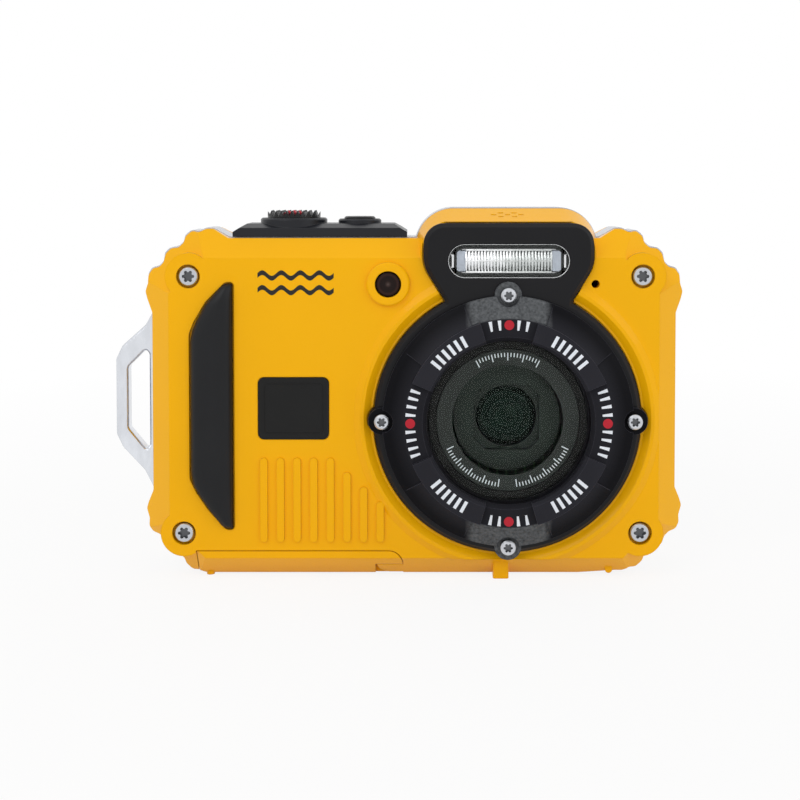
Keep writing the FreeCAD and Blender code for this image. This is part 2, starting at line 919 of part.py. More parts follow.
def mid_frame():
    """Silver frame between the covers, which carries the strap lug, the switch board and the tripod socket."""
    ring = prism_y(outline_points(frame_proud), outline_round, frame_front_y, frame_back_y)
    side = hump_side + frame_proud
    rise = hump_rise + frame_proud
    ring = joined(ring, [hump(side, rise, side, rise, frame_front_y, frame_back_y)])
    low_y = frame_front_y - spare
    high_y = frame_back_y + spare
    ring = ring.cut([body_room(low_y, high_y), hump_room(low_y, high_y), door_opening(low_y, high_y)])
    saddle = box(
        tripod_x - saddle_half_width, tripod_x + saddle_half_width, frame_front_y, frame_back_y,
        wall - sink, tripod_height + saddle_thick)
    post_z = inner_top_z - switch_drop()
    posts = [
        rod_along_z(x, frame_front_y + post_radius, post_radius, post_z, inner_top_z + sink)
        for x in ((shutter_x + power_x) / 2, shutter_x - shutter_boss_radius - 2 * post_radius)]
    ring = joined(ring, [saddle] + posts)
    flange_top_z = wall + tripod_flange_thick
    slot_half = strap_thick / 2 + strap_gap
    slot_top = strap_points[0][1] + strap_gap
    slot_low = strap_points[-1][1] - strap_gap
    cuts = [
        rod_along_z(tripod_x, tripod_y, tripod_body_radius + seat_gap, -spare, tripod_height + fit_gap),
        rod_along_z(tripod_x, tripod_y, tripod_flange_radius + fit_gap, wall, flange_top_z + fit_gap),
        box(
            -half_width - lobe_out - spare, strap_points[0][0] + strap_gap, strap_y - slot_half,
            strap_y + slot_half,
            slot_low, slot_top),
        latch_tongue(latch_gap, latch_gap)]
    for x, z in case_screws_at:
        cuts.append(rod_along_y(x, z, case_shank_radius + screw_slack, -through, through))
    return ring.cut(cuts + button_wells())


def switch_drop():
    """Distance from the inside of the top wall down to the switch board."""
    travel = max(shutter_travel, power_travel)
    return boss_drop + tip_drop + travel + switch_gap - (plate_base_z - inner_top_z)


def rear_cover():
    """Yellow rear shell with the display opening, the key holes and the back feet."""
    envelope = rear_envelope()
    end_rise = body_height + hump_back_rise - flash_top_z
    dome = hump(hump_side, hump_rise, hump_back_side, end_rise, rear_front_y, rear_taper_y)
    feet = [
        rod_along_z(x, back_y - back_foot_inset, back_foot_radius, -foot_drop, wall)
        for x in (-back_foot_x, back_foot_x)]
    shell = joined(envelope, [dome] + feet)
    low_y = rear_front_y - spare
    lug_y = door_back_y + door_gap
    shell = shell.cut([body_room(low_y, back_inner_y), door_opening(low_y, lug_y)])
    key_posts = [
        rod_along_y(x, z, post_radius, key_board_y() + key_board_thick, back_inner_y + sink)
        for x, z in key_posts_at]
    lug = hinge_lug(lug_y, lug_y + lug_depth).common(envelope)
    shell = joined(shell, key_posts + [lug])
    cuts = [
        pin_hole(press_gap),
        prism_y(
            display_window_outline(fit_gap), display_window_round, back_y - display_window_thick,
            back_y + spare),
        box(
            display_left_x + display_margin, display_right_x - display_margin, back_inner_y - spare,
            back_y, display_bottom_z + display_margin, display_top_z - display_margin)]
    for x, z in case_screws_at:
        cuts.append(rod_along_y(x, z, insert_radius + press_gap, low_y, rear_front_y + insert_length))
    for x, z, radius in key_places():
        cuts.append(rod_along_y(x, z, radius + key_hole_gap, back_inner_y - spare, back_y + spare))
    return shell.cut(cuts)


def key_places():
    """Centre and radius of each round key on the back."""
    return [
        (record_at[0], record_at[1], record_radius),
        (tele_at[0], tele_at[1], zoom_key_radius),
        (wide_at[0], wide_at[1], zoom_key_radius),
        (menu_at[0], menu_at[1], small_key_radius),
        (play_at[0], play_at[1], small_key_radius),
        (delete_at[0], delete_at[1], small_key_radius),
        (pad_x, pad_z, pad_radius)]


def gasket_layer(inset, y0, y1):
    """Body outline with the hump, set in from the outside."""
    flat = prism_y(outline_points(-inset), outline_round, y0, y1)
    side = hump_side - inset
    rise = hump_rise - inset
    return joined(flat, [hump(side, rise, side, rise, y0, y1)])


def gasket_ring(y):
    """Thin rubber ring in a seam of the body."""
    outer = gasket_layer(gasket_inset, y, y + seam_gap)
    inner = gasket_layer(gasket_inset + gasket_width, y - spare, y + spare)
    return outer.cut([inner, door_opening(y - spare, y + spare)])


def cover_gaskets():
    """Rubber rings between the two covers and the frame."""
    return group([gasket_ring(seam_front_y), gasket_ring(frame_back_y)])


def grip_pad():
    """Rubber pad for the fingers, with a softened edge and a crown along its middle."""
    outline = shrunk(grip_points, grip_gap)
    shoulder = shrunk(grip_points, grip_gap + grip_edge)
    crest = shrunk(grip_points, grip_gap + grip_edge + grip_slope)
    front_y = panel_y - grip_stand
    edge_y = front_y + grip_edge
    pad = prism_y(outline, grip_rounds, edge_y, panel_y + grip_recess)
    edge = loft_y(shoulder, outline, grip_rounds, front_y, edge_y)
    crown = loft_y(crest, shoulder, grip_rounds, front_y - grip_crown, front_y)
    return joined(pad, [edge, crown])


def shrunk(points, inset):
    """Points moved towards the middle of their outline by about the inset."""
    xs = [p[0] for p in points]
    zs = [p[1] for p in points]
    middle_x = (min(xs) + max(xs)) / 2
    middle_z = (min(zs) + max(zs)) / 2
    scale_x = 1 - 2 * inset / (max(xs) - min(xs))
    scale_z = 1 - 2 * inset / (max(zs) - min(zs))
    return [(middle_x + (x - middle_x) * scale_x, middle_z + (z - middle_z) * scale_z) for x, z in points]


def badge_outline(grow):
    """Outline of the badge plate."""
    half = badge_width / 2 + grow
    half_height = badge_height / 2 + grow
    return rectangle(badge_x - half, badge_x + half, badge_z - half_height, badge_z + half_height)


def badge_plate():
    """Plain badge plate on the front."""
    return prism_y(badge_outline(0), badge_round, panel_y - badge_proud, panel_y + badge_recess)


def case_screw(x, z):
    """One long screw that holds the covers together."""
    head_y = panel_y + case_head_depth - case_head_height
    seat_y = panel_y + case_head_depth
    head = bevelled(rod_along_y(x, z, case_head_radius, head_y, seat_y), "Y", head_y, edge_bevel)
    shank = rod_along_y(x, z, case_shank_radius, seat_y, rear_front_y + insert_length - screw_tip_gap)
    drive = six_lobe_drive(x, z, drive_share * case_head_radius, head_y - spare, head_y + drive_depth)
    return head.fuse(shank).cut(drive)


def screw_insert(x, z):
    """Brass insert in the rear cover that a case screw runs into."""
    body = rod_along_y(x, z, insert_radius, rear_front_y, rear_front_y + insert_length)
    return body.cut(rod_along_y(x, z, case_shank_radius + thread_gap, -through, through))


def ring_screw(x, z):
    """One short screw that holds the trim ring and the surround."""
    head_y = ring_flange_y - ring_head_height
    head = bevelled(rod_along_y(x, z, ring_head_radius, head_y, ring_flange_y), "Y", head_y, edge_bevel)
    shank = rod_along_y(x, z, ring_shank_radius, ring_flange_y, ring_flange_y + ring_shank_length)
    drive = six_lobe_drive(x, z, drive_share * ring_head_radius, head_y - spare, head_y + drive_depth)
    return head.fuse(shank).cut(drive)


def lens_bezel():
    """Black surround of the lens and the flash."""
    plate = bezel_outline_solid(0, bezel_front_y, bezel_seat_y)
    plate = bevelled(plate, "Y", bezel_front_y, bezel_bevel)
    window_y = bezel_front_y + flash_window_thick - flash_window_proud
    half = flash_window_half + seat_gap
    half_height = flash_window_half_height + seat_gap
    cuts = [
        rod_along_y(lens_x, lens_z, window_ledge_radius, -through, 0),
        rod_along_y(lens_x, lens_z, window_radius + fit_gap, -through, bezel_front_y + window_drop()),
        stadium(flash_x, flash_z, half, half_height, -through, window_y),
        box(
            flash_x - reflector_half - fit_gap, flash_x + reflector_half + fit_gap, window_y - fit_gap, 0,
            flash_z - reflector_half_height - fit_gap, flash_z + reflector_half_height + fit_gap)]
    for x, z in ring_screws_at():
        cuts.append(rod_along_y(x, z, ring_shank_radius + screw_slack, -through, 0))
    return plate.cut(cuts)


def window_drop():
    """Depth of the window's seat below the front face of the surround."""
    return seal_section + window_seat_drop


def lens_trim_ring():
    """Ring round the window with four raised blocks between four lower segments."""
    base_y = bezel_front_y
    rim_y = base_y - ring_rim_height
    low_y = base_y - ring_low_height
    high_y = base_y - ring_high_height
    low_profile = [
        (ring_inner_radius, base_y), (ring_radius, base_y), (ring_radius, rim_y),
        (ring_flat_radius, low_y), (ring_inner_radius + ring_bevel, low_y),
        (ring_inner_radius, low_y + ring_bevel)]
    ring = turned(low_profile, lens_x, lens_z)
    inner_radius = ring_inner_radius + fit_gap
    outer_radius = ring_radius - fit_gap
    root_radius = ring_flat_radius - block_overlap
    step_y = high_y + block_step
    inner_profile = [
        (inner_radius, base_y), (ring_flat_radius, base_y), (ring_flat_radius, high_y),
        (inner_radius + block_bevel, high_y), (inner_radius, high_y + block_bevel)]
    outer_profile = [
        (root_radius, base_y), (outer_radius, base_y), (outer_radius, rim_y),
        (ring_flat_radius - press_gap, step_y), (root_radius, step_y)]
    blocks = []
    for mirror_x in (1, -1):
        for mirror_z in (1, -1):
            inner_from, inner_to = side_gap_angle, 90 - end_gap_angle
            outer_from, outer_to = side_slope_angle, 90 - end_slope_angle
            blocks.append(quarter_block(inner_profile, inner_from, inner_to, mirror_x, mirror_z))
            blocks.append(quarter_block(outer_profile, outer_from, outer_to, mirror_x, mirror_z))
    ring = joined(ring, blocks)
    lobes = [rod_along_y(x, z, lobe_radius - fit_gap, ring_flange_y, base_y) for x, z in ring_screws_at()]
    cuts = []
    for x, z in ring_screws_at():
        cuts.append(rod_along_y(x, z, ring_notch_radius, high_y - spare, ring_flange_y))
    ring = ring.cut(cuts)
    ring = joined(ring, lobes)
    holes = [
        rod_along_y(x, z, ring_shank_radius + screw_slack, -through, 0) for x, z in ring_screws_at()]
    return ring.cut(holes)


def quarter_block(profile, start, end, mirror_x, mirror_z):
    """Part of a turned profile in one quarter of the ring."""
    block = turned(profile, lens_x, lens_z, start, end - start)
    centre = Vector(lens_x, 0, lens_z)
    if mirror_x < 0:
        block = block.mirror(centre, Vector(1, 0, 0))
    if mirror_z < 0:
        block = block.mirror(centre, Vector(0, 0, 1))
    return block


def window_back_y():
    """Back face of the window, on its seal."""
    return bezel_front_y + window_drop() - seal_section


def lens_window():
    """Thick glass window over the lens."""
    disc = rod_along_y(lens_x, lens_z, window_radius, window_back_y() - window_thick, window_back_y())
    return bevelled(disc, "Y", window_back_y() - window_thick, edge_bevel)


def window_seal():
    """Rubber ring that the window presses on its seat."""
    outer = window_radius - seal_gap
    inner = window_ledge_radius + seal_gap
    back = window_back_y()
    ring = rod_along_y(lens_x, lens_z, outer, back + press_gap, back + seal_section - press_gap)
    return ring.cut(rod_along_y(lens_x, lens_z, inner, -through, 0))


def window_mask():
    """Black ring behind the window that hides the space round the lens."""
    outer = window_ledge_radius - fit_gap
    front = window_back_y() + press_gap
    ring = rod_along_y(lens_x, lens_z, outer, front, front + mask_thick)
    return ring.cut(rod_along_y(lens_x, lens_z, mask_inner_radius, -through, 0))


def flash_window():
    """Clear window of the flash."""
    front = bezel_front_y - flash_window_proud
    pane = stadium(
        flash_x, flash_z, flash_window_half, flash_window_half_height, front, front + flash_window_thick)
    return bevelled(pane, "Y", front, flash_window_bevel)


def flash_reflector():
    """Polished trough behind the flash window."""
    front = bezel_front_y + flash_window_thick
    back = front + reflector_depth
    low = flash_z - reflector_half_height
    high = flash_z + reflector_half_height
    block = box(flash_x - reflector_half, flash_x + reflector_half, front, back, low, high)
    floor = back - reflector_wall
    knee = back - reflector_knee
    trough = [
        (front - fit_gap, low + reflector_lip), (front - fit_gap, high - reflector_lip),
        (knee, high - 2 * reflector_lip), (floor, flash_z + reflector_back_half),
        (floor, flash_z - reflector_back_half), (knee, low + 2 * reflector_lip)]
    half = reflector_half - reflector_wall
    return block.cut(prism_x(trough, flash_x - half, flash_x + half))


def flash_tube():
    """Glass flash tube along the trough."""
    inset = reflector_wall + fit_gap
    back = bezel_front_y + flash_window_thick + reflector_depth - inset
    half = reflector_half - inset
    return rod_along_x(back - tube_radius, flash_z, tube_radius, flash_x - half, flash_x + half)


def flash_capacitor():
    """Capacitor that feeds the flash tube."""
    top = capacitor_bottom_z + capacitor_length
    can = rod_along_z(capacitor_x, capacitor_y, capacitor_radius, capacitor_bottom_z, top)
    half = capacitor_bracket_half
    bracket = box(
        capacitor_x, half_width - wall - fit_gap, capacitor_y - half, capacitor_y + half,
        capacitor_bottom_z + capacitor_bracket_low, capacitor_bottom_z + capacitor_bracket_high)
    return joined(can, [bracket])


def af_lamp_window():
    """Dark red window of the focus lamp."""
    front = lamp_seat_y - lamp_window_thick
    return bevelled(rod_along_y(lamp_x, lamp_z, lamp_radius, front, lamp_seat_y), "Y", front, edge_bevel)


def af_lamp_led():
    """Focus lamp behind its window."""
    front = lamp_seat_y + fit_gap
    return rod_along_y(lamp_x, lamp_z, lamp_led_radius, front, front + lamp_led_length)


def top_plate():
    """Black plate on the top with the two button collars and their guides."""
    front, back = plate_front_y, plate_back_y
    edge_z = plate_base_z + plate_edge_height
    section = [
        (front, plate_base_z), (back, plate_base_z), (back, edge_z),
        (back - plate_slope, plate_top_z), (front + plate_slope, plate_top_z), (front, edge_z)]
    plate = prism_x(section, plate_left_x, plate_right_x)
    cut = plate_end_bevel
    slope = plate_end_slope * cut
    ends = [
        (plate_left_x, plate_base_z), (plate_right_x, plate_base_z),
        (plate_right_x, plate_top_z - cut), (plate_right_x - slope, plate_top_z),
        (plate_left_x + slope, plate_top_z), (plate_left_x, plate_top_z - cut)]
    plate = plate.common(prism_y(ends, 0, front - spare, back + spare))
    guide_top_z = plate_base_z + sink
    shutter_collar = top_collar(shutter_x, shutter_collar_radius, shutter_collar_height)
    power_collar = top_collar(power_x, power_collar_radius, power_collar_height)
    guides = [
        rod_along_z(shutter_x, button_y, shutter_boss_radius, plate_base_z - boss_drop, guide_top_z),
        rod_along_z(power_x, button_y, power_boss_radius, plate_base_z - boss_drop, guide_top_z)]
    plate = joined(plate, [shutter_collar, power_collar] + guides)
    seal_z = shutter_seal_z()
    seal_radius = shutter_stem_radius + shutter_seal_width + fit_gap
    low_z = stem_tip_z() - spare
    high_z = plate_top_z + through
    cuts = [
        rod_along_z(shutter_x, button_y, shutter_radius + fit_gap, plate_top_z - shutter_well, high_z),
        rod_along_z(shutter_x, button_y, shutter_stem_radius + stem_gap, low_z, high_z),
        rod_along_z(shutter_x, button_y, seal_radius, seal_z - fit_gap, seal_z + seal_section + fit_gap),
        rod_along_z(power_x, button_y, power_radius + fit_gap, plate_top_z - power_well, high_z),
        rod_along_z(power_x, button_y, power_stem_radius + stem_gap, low_z, high_z)]
    return plate.cut(cuts)


def top_collar(x, radius, height):
    """Raised collar of the top plate round one button."""
    top_z = plate_top_z + height
    return bevelled(rod_along_z(x, button_y, radius, plate_base_z + sink, top_z), "Z", top_z, edge_bevel)


def shutter_seal_z():
    """Bottom of the rubber seal round the shutter's stem."""
    return plate_base_z - shutter_seal_drop


def ridge_cuts(x, y, radius, top_z):
    """V grooves both ways across the shutter's face."""
    cuts = []
    count = int(radius / ridge_pitch) + 1
    half = ridge_pitch / 2
    for index in range(-count, count):
        middle = (index + 0.5) * ridge_pitch
        mouth_z = top_z + press_gap
        groove = [(middle - half, mouth_z), (middle, top_z - ridge_height), (middle + half, mouth_z)]
        along_y = [(x + u, z) for u, z in groove]
        cuts.append(prism_y(along_y, 0, y - radius - spare, y + radius + spare))
        along_x = [(y + u, z) for u, z in groove]
        cuts.append(prism_x(along_x, x - radius - spare, x + radius + spare))
    return cuts


def shutter_top_z():
    """Tips of the ridges on the shutter."""
    return plate_top_z + shutter_lift + shutter_disc + ridge_height


def shutter_button():
    """Shutter button with a ridged face on a guided stem."""
    top_z = shutter_top_z()
    head_z = plate_top_z + shutter_lift
    head = rod_along_z(shutter_x, button_y, shutter_radius, head_z, top_z)
    head = head.cut(ridge_cuts(shutter_x, button_y, shutter_radius, top_z))
    seat = rod_along_z(shutter_x, button_y, accent_radius + seat_gap, head_z + accent_floor, top_z + spare)
    head = head.cut(seat)
    stem = rod_along_z(shutter_x, button_y, shutter_stem_radius, stem_tip_z(), head_z)
    return joined(head, [stem])


def stem_tip_z():
    """Lower end of the stems of the top buttons."""
    return plate_base_z - boss_drop - tip_drop


def shutter_accent():
    """Red insert in the middle of the shutter."""
    low_z = plate_top_z + shutter_lift + accent_floor
    return rod_along_z(shutter_x, button_y, accent_radius, low_z, shutter_top_z() - accent_drop)


def shutter_seal():
    """Rubber ring round the shutter's stem."""
    seal_z = shutter_seal_z()
    outer = shutter_stem_radius + shutter_seal_width
    inner = shutter_stem_radius + shutter_seal_gap
    ring = rod_along_z(shutter_x, button_y, outer, seal_z, seal_z + seal_section)
    return ring.cut(rod_along_z(shutter_x, button_y, inner, seal_z - spare, plate_top_z))


def shutter_spring():
    """Return spring between the well's floor and the shutter's head, as a plain sleeve."""
    floor_z = plate_top_z - shutter_well
    top_z = plate_top_z + shutter_lift - press_gap
    sleeve = rod_along_z(shutter_x, button_y, shutter_stem_radius + spring_outer, floor_z, top_z)
    bore = rod_along_z(
        shutter_x, button_y, shutter_stem_radius + spring_inner, floor_z - spare, top_z + spare)
    return sleeve.cut(bore)


def power_button():
    """Power button on a guided stem."""
    top_z = plate_top_z + power_collar_height + power_proud
    head_z = plate_top_z - power_head_drop
    head = bevelled(rod_along_z(power_x, button_y, power_radius, head_z, top_z), "Z", top_z, edge_bevel)
    stem = rod_along_z(power_x, button_y, power_stem_radius, stem_tip_z(), head_z)
    return joined(head, [stem])


def top_switch_board():
    """Small board under the top buttons."""
    top_z = inner_top_z - switch_drop()
    return box(
        shutter_x - switch_board_left, power_x + switch_board_right, frame_front_y + switch_board_gap,
        button_y + switch_board_back, top_z - switch_board_thick, top_z)


def body_stack():
    """Outer form of the closed body in one block, which the door is cut from."""
    middle = prism_y(outline_points(0), outline_round, seam_front_y, rear_taper_y)
    return front_envelope().fuse(middle)


def battery_door():
    """Yellow battery door: a shallow tray with a round end that turns on the hinge pin."""
    height = door_front_height
    stack = body_stack()
    bar = box(door_left_x, pin_x, panel_y, door_back_y, 0, height)
    below = box(pin_x, pin_x + pin_z + spare, panel_y, door_back_y, 0, height)
    round_end = rod_along_y(pin_x, pin_z, pin_z, panel_y, door_back_y).common(below)
    block = joined(bar, [round_end]).common(stack)
    tray_right = pin_x - pin_radius - pin_wall
    tray = box(
        door_left_x + door_wall, tray_right, panel_y, door_back_y - door_wall, door_floor,
        height + spare)
    inner_stack = stack.copy()
    inner_stack.translate(Vector(0, door_front_wall, 0))
    foot = rod_along_z(door_foot_x, door_foot_y, door_foot_radius, -foot_drop, sink)
    block = joined(block.cut(tray.common(inner_stack)), [foot])
    notch_y = panel_inner_y - door_gap
    notch = box(
        pin_x - pin_z, pin_x + pin_z + spare, notch_y, notch_y + lug_depth + 2 * door_gap, -spare,
        height + spare)
    return block.cut([
        notch, pin_hole(pin_gap), latch_plate(latch_gap, latch_travel), latch_tongue(latch_gap, latch_travel)])


def latch_plate(gap, travel):
    """Thumb plate of the latch, or the room for it along its travel."""
    half = latch_width / 2 + gap
    half_depth = latch_depth / 2 + gap
    return box(
        latch_x - half, latch_x + half + travel, latch_y - half_depth, latch_y + half_depth,
        -gap, latch_lift + latch_plate_thick + gap)


def latch_tongue(gap, travel):
    """Tongue of the latch through the door's left wall, or the room for it."""
    half_depth = latch_tongue_width / 2 + gap
    low_z = latch_lift + latch_plate_thick
    return box(
        door_left_x - latch_reach - gap, latch_x + gap + travel, latch_y - half_depth, latch_y + half_depth,
        low_z - gap, low_z + latch_tongue_thick + gap)


def door_latch():
    """Sliding latch of the door: a grooved thumb plate with its tongue."""
    plate = latch_plate(0, 0)
    half_depth = latch_depth / 2
    grooves = []
    for index in range(latch_groove_count):
        x = latch_x + (index - (latch_groove_count - 1) / 2) * latch_groove_pitch
        grooves.append(box(
            x - latch_groove, x + latch_groove, latch_y - half_depth, latch_y + half_depth,
            -spare, latch_lift + latch_groove))
    return joined(plate, [latch_tongue(0, 0)]).cut(grooves)


def door_gasket_limits():
    """Limits of the door gasket: left, right, front and back."""
    left = door_left_x + door_wall + door_gasket_inset
    swing = math.hypot(pin_radius + pin_wall, door_front_height - pin_z)
    right = pin_x - swing - fit_gap
    front = panel_y + panel_bottom_z - door_floor + door_front_wall + seat_gap
    return left, right, front, housing_back_y


def door_gasket():
    """Rubber ring on the inside of the door."""
    left, right, front, back = door_gasket_limits()
    width = door_gasket_width
    ring = box(left, right, front, back, door_floor, door_floor + door_gasket_thick)
    return ring.cut(box(left + width, right - width, front + width, back - width, 0, body_height))


def door_hinge_pin():
    """Steel pin that the battery door turns on."""
    return rod_along_y(pin_x, pin_z, pin_radius, pin_front_y(), pin_back_y())


def battery_bottom_z():
    """Bottom of the battery above the door's gasket."""
    return door_floor + door_gasket_thick + holder_base_gap + holder_flange + battery_foot_gap


def battery():
    """Flat lithium battery."""
    left = battery_right_x - battery_width
    low = battery_bottom_z()
    points = rectangle(left, battery_right_x, battery_front_y, battery_front_y + battery_thick)
    return prism_z(points, battery_round, low, low + battery_height)


def card_front_y():
    """Front face of the memory card."""
    return housing_back_y - card_slot_wall - card_gap - card_thick


def memory_card():
    """Memory card with its cut corner."""
    low = battery_bottom_z()
    high = low + card_height
    right = card_left_x + card_width
    points = [
        (card_left_x, low), (right, low), (right, high), (card_left_x + card_cut, high),
        (card_left_x, high - card_cut)]
    return prism_y(points, 0, card_front_y(), card_front_y() + card_thick)


def card_slot():
    """Metal shell that holds the memory card on the main board."""
    low = battery_bottom_z() - mouth_drop
    high = battery_bottom_z() + card_height + card_head_gap
    gap = card_gap + card_slot_wall
    outer = box(
        card_left_x - gap, card_left_x + card_width + gap, card_front_y() - gap,
        housing_back_y, low, high)
    inner = box(
        card_left_x - card_gap, card_left_x + card_width + card_gap, card_front_y() - card_gap,
        card_front_y() + card_thick + card_gap, low - spare, high - card_slot_wall)
    return outer.cut(inner)


def socket_right_x():
    """Right side of the data socket, inside the door gasket."""
    return door_gasket_limits()[1] - door_gasket_width - socket_gap


def usb_socket():
    """Data socket beside the card."""
    right = socket_right_x()
    left = right - socket_width
    low = battery_bottom_z() - mouth_drop
    high = low + socket_height
    back = housing_back_y
    front = back - socket_depth
    shell = box(left, right, front, back, low, high)
    mouth = box(
        left + socket_wall, right - socket_wall, front + socket_wall, back - socket_wall,
        low - spare, high - socket_wall)
    middle = (front + back) / 2
    tongue = box(
        left + 2 * socket_wall, right - 2 * socket_wall, middle - socket_wall / 2, middle + socket_wall / 2,
        low + socket_wall, high - socket_wall / 2)
    return joined(shell.cut(mouth), [tongue])


def battery_holder():
    """Open box for the battery on a flange that the door's gasket meets."""
    left, right, front, back = door_gasket_limits()
    base_z = door_floor + door_gasket_thick + holder_base_gap
    flange_z = base_z + holder_flange
    flange = box(left, right, front, back, base_z, flange_z)
    gap = battery_gap
    inner_left = battery_right_x - battery_width - gap
    inner_right = battery_right_x + gap
    inner_front = battery_front_y - gap
    inner_back = battery_front_y + battery_thick + gap
    top_z = battery_bottom_z() + battery_height + battery_head_gap
    outer_top_z = top_z + holder_wall
    case = box(
        inner_left - holder_wall, inner_right + holder_wall, inner_front - holder_wall,
        inner_back + holder_wall, base_z, outer_top_z)
    rib_low_z = door_front_height + spare
    ribs = [
        box(
            x - holder_rib_width / 2, x + holder_rib_width / 2, panel_inner_y + fit_gap,
            inner_front - holder_wall + fit_gap, rib_low_z, outer_top_z)
        for x in (inner_left + battery_width / 4, inner_right - battery_width / 4)]
    holder = joined(flange, [case] + ribs)
    slack = card_gap + card_slot_wall + fit_gap
    rooms = [
        box(inner_left, inner_right, inner_front, inner_back, 0, top_z),
        box(
            card_left_x - slack, card_left_x + card_width + slack, card_front_y() - slack,
            back - holder_back_wall, 0, flange_z + fit_gap),
        box(
            socket_right_x() - socket_width - fit_gap, socket_right_x() + fit_gap,
            back - socket_depth - fit_gap, back - holder_back_wall, 0, flange_z + fit_gap)]
    return holder.cut(rooms)


def tripod_insert():
    """Brass socket for a quarter inch tripod screw, held by a flange inside the bottom walls."""
    body = rod_along_z(tripod_x, tripod_y, tripod_body_radius, 0, tripod_height)
    flange = rod_along_z(
        tripod_x, tripod_y, tripod_flange_radius, wall, wall + tripod_flange_thick)
    hole = rod_along_z(tripod_x, tripod_y, tripod_hole_radius, -spare, tripod_hole_depth)
    return joined(body, [flange]).cut(hole)


def strap_lug():
    """Steel strap loop in the frame's left side."""
    front = strap_y - strap_thick / 2
    back = strap_y + strap_thick / 2
    loop = prism_y(strap_points, strap_rounds, front, back)
    loop = loop.cut(prism_y(strap_hole_points, strap_hole_rounds, front - spare, back + spare))
    return bevelled(loop, "Y", front, strap_bevel)


def housing_top_z():
    """Upper end of the lens housing."""
    return lens_z + housing_above


def track_front_y():
    """Front wall of the channel that the moving lens groups slide in."""
    return prism_front_y - track_clearance


def lens_housing():
    """Black housing of the folded zoom lens."""
    low = lens_z - housing_below
    body = box(
        lens_x - housing_half_width, lens_x + housing_half_width, housing_front_y, housing_back_y,
        low, housing_top_z())
    snout = rod_along_y(lens_x, lens_z, snout_radius, snout_front_y, housing_front_y + sink)
    body = joined(body, [snout])
    half = baffle_size / 2
    baffle = prism_y(
        cut_rectangle(lens_x - half, lens_x + half, lens_z - half, lens_z + half, baffle_cut), 0,
        snout_front_y - spare, snout_front_y + baffle_depth)
    prism_half = prism_size / 2 + fit_gap
    prism_back_y = prism_front_y + prism_size + fit_gap
    arm_half = arm_thick / 2 + arm_gap
    cuts = [
        baffle,
        rod_along_y(lens_x, lens_z, front_element_radius + fit_gap, snout_front_y, prism_front_y - fit_gap),
        box(
            lens_x - prism_half, lens_x + prism_half, prism_front_y - fit_gap, prism_back_y,
            lens_z - prism_half, lens_z + prism_half),
        box(
            lens_x - track_half_width, lens_x + track_half_width, track_front_y(), prism_back_y + fit_gap,
            lens_z + prism_half, lens_z + sensor_height + sensor_thick),
        box(
            lens_x + housing_half_width - arm_slot_depth, lens_x + housing_half_width + spare,
            lead_y() - arm_half, lead_y() + arm_half, lens_z + zoom_height - arm_slot_end,
            lens_z + zoom_height + zoom_travel + arm_slot_end)]
    for x, y in rod_places():
        cuts.append(rod_along_z(x, y, rod_radius + press_gap, rod_low_z(), rod_high_z()))
    return body.cut(cuts)


def rod_places():
    """The two guide rods, on opposite corners of the channel."""
    return [(lens_x - rod_x, rod_y), (lens_x + rod_x, rod_far_y)]


def rod_low_z():
    """Lower end of the guide rods."""
    return lens_z + prism_size / 2 - rod_grip


def rod_high_z():
    """Upper end of the guide rods."""
    return housing_top_z() - rod_end_wall


def lens_guide_rods():
    """Two steel rods that guide the moving lens groups."""
    rods = [rod_along_z(x, y, rod_radius, rod_low_z(), rod_high_z()) for x, y in rod_places()]
    return Part.makeCompound(rods)


def lens_front_element():
    """Front lens with a domed face."""
    back = prism_front_y - 2 * fit_gap
    front = back - front_element_thick
    disc = rod_along_y(lens_x, lens_z, front_element_radius, front + front_element_dome, back)
    sagitta = front_element_dome
    ball_radius = (front_element_radius ** 2 + sagitta ** 2) / (2 * sagitta)
    ball = Part.makeSphere(ball_radius, Vector(lens_x, front + ball_radius, lens_z))
    cap_back = front + sagitta + press_gap
    cap = ball.common(rod_along_y(lens_x, lens_z, front_element_radius, front - spare, cap_back))
    return joined(disc, [cap])


def lens_prism():
    """Prism that turns the light upwards."""
    half = prism_size / 2
    front, back = prism_front_y, prism_front_y + prism_size
    return prism_x(
        [(front, lens_z - half), (back, lens_z + half), (front, lens_z + half)], lens_x - half, lens_x + half)


def carriage(middle_z, thick):
    """Frame of a moving lens group with its bore and the holes for the guide rods."""
    front = track_front_y() + carriage_gap
    back = prism_front_y + prism_size - seat_gap
    low = middle_z - thick / 2
    high = middle_z + thick / 2
    block = box(lens_x - carriage_half_width, lens_x + carriage_half_width, front, back, low, high)
    cuts = [rod_along_z(lens_x, optical_y(), group_radius + seat_gap, low - spare, high + spare)]
    for x, y in rod_places():
        cuts.append(rod_along_z(x, y, rod_radius + stem_gap, low - spare, high + spare))
    return block.cut(cuts)


def optical_y():
    """Depth of the optical axis after the fold."""
    return prism_front_y + prism_size / 2


def lead_y():
    """Depth of the lead screw."""
    return optical_y() - lead_offset


def zoom_carriage():
    """Carriage of the zoom group with the arm and nut on the lead screw."""
    middle = lens_z + zoom_height
    frame = carriage(middle, zoom_thick)
    arm = box(
        lens_x + carriage_half_width - sink, lens_x + motor_offset, lead_y() - arm_thick / 2,
        lead_y() + arm_thick / 2, middle - arm_thick / 2, middle + arm_thick / 2)
    nut = rod_along_z(
        lens_x + motor_offset, lead_y(), nut_radius, middle - arm_thick / 2, middle + arm_thick / 2)
    thread = rod_along_z(lens_x + motor_offset, lead_y(), lead_radius + thread_gap, 0, through)
    rods = [rod_along_z(x, y, rod_radius + stem_gap, 0, through) for x, y in rod_places()]
    return joined(frame, [arm, nut]).cut([thread] + rods)


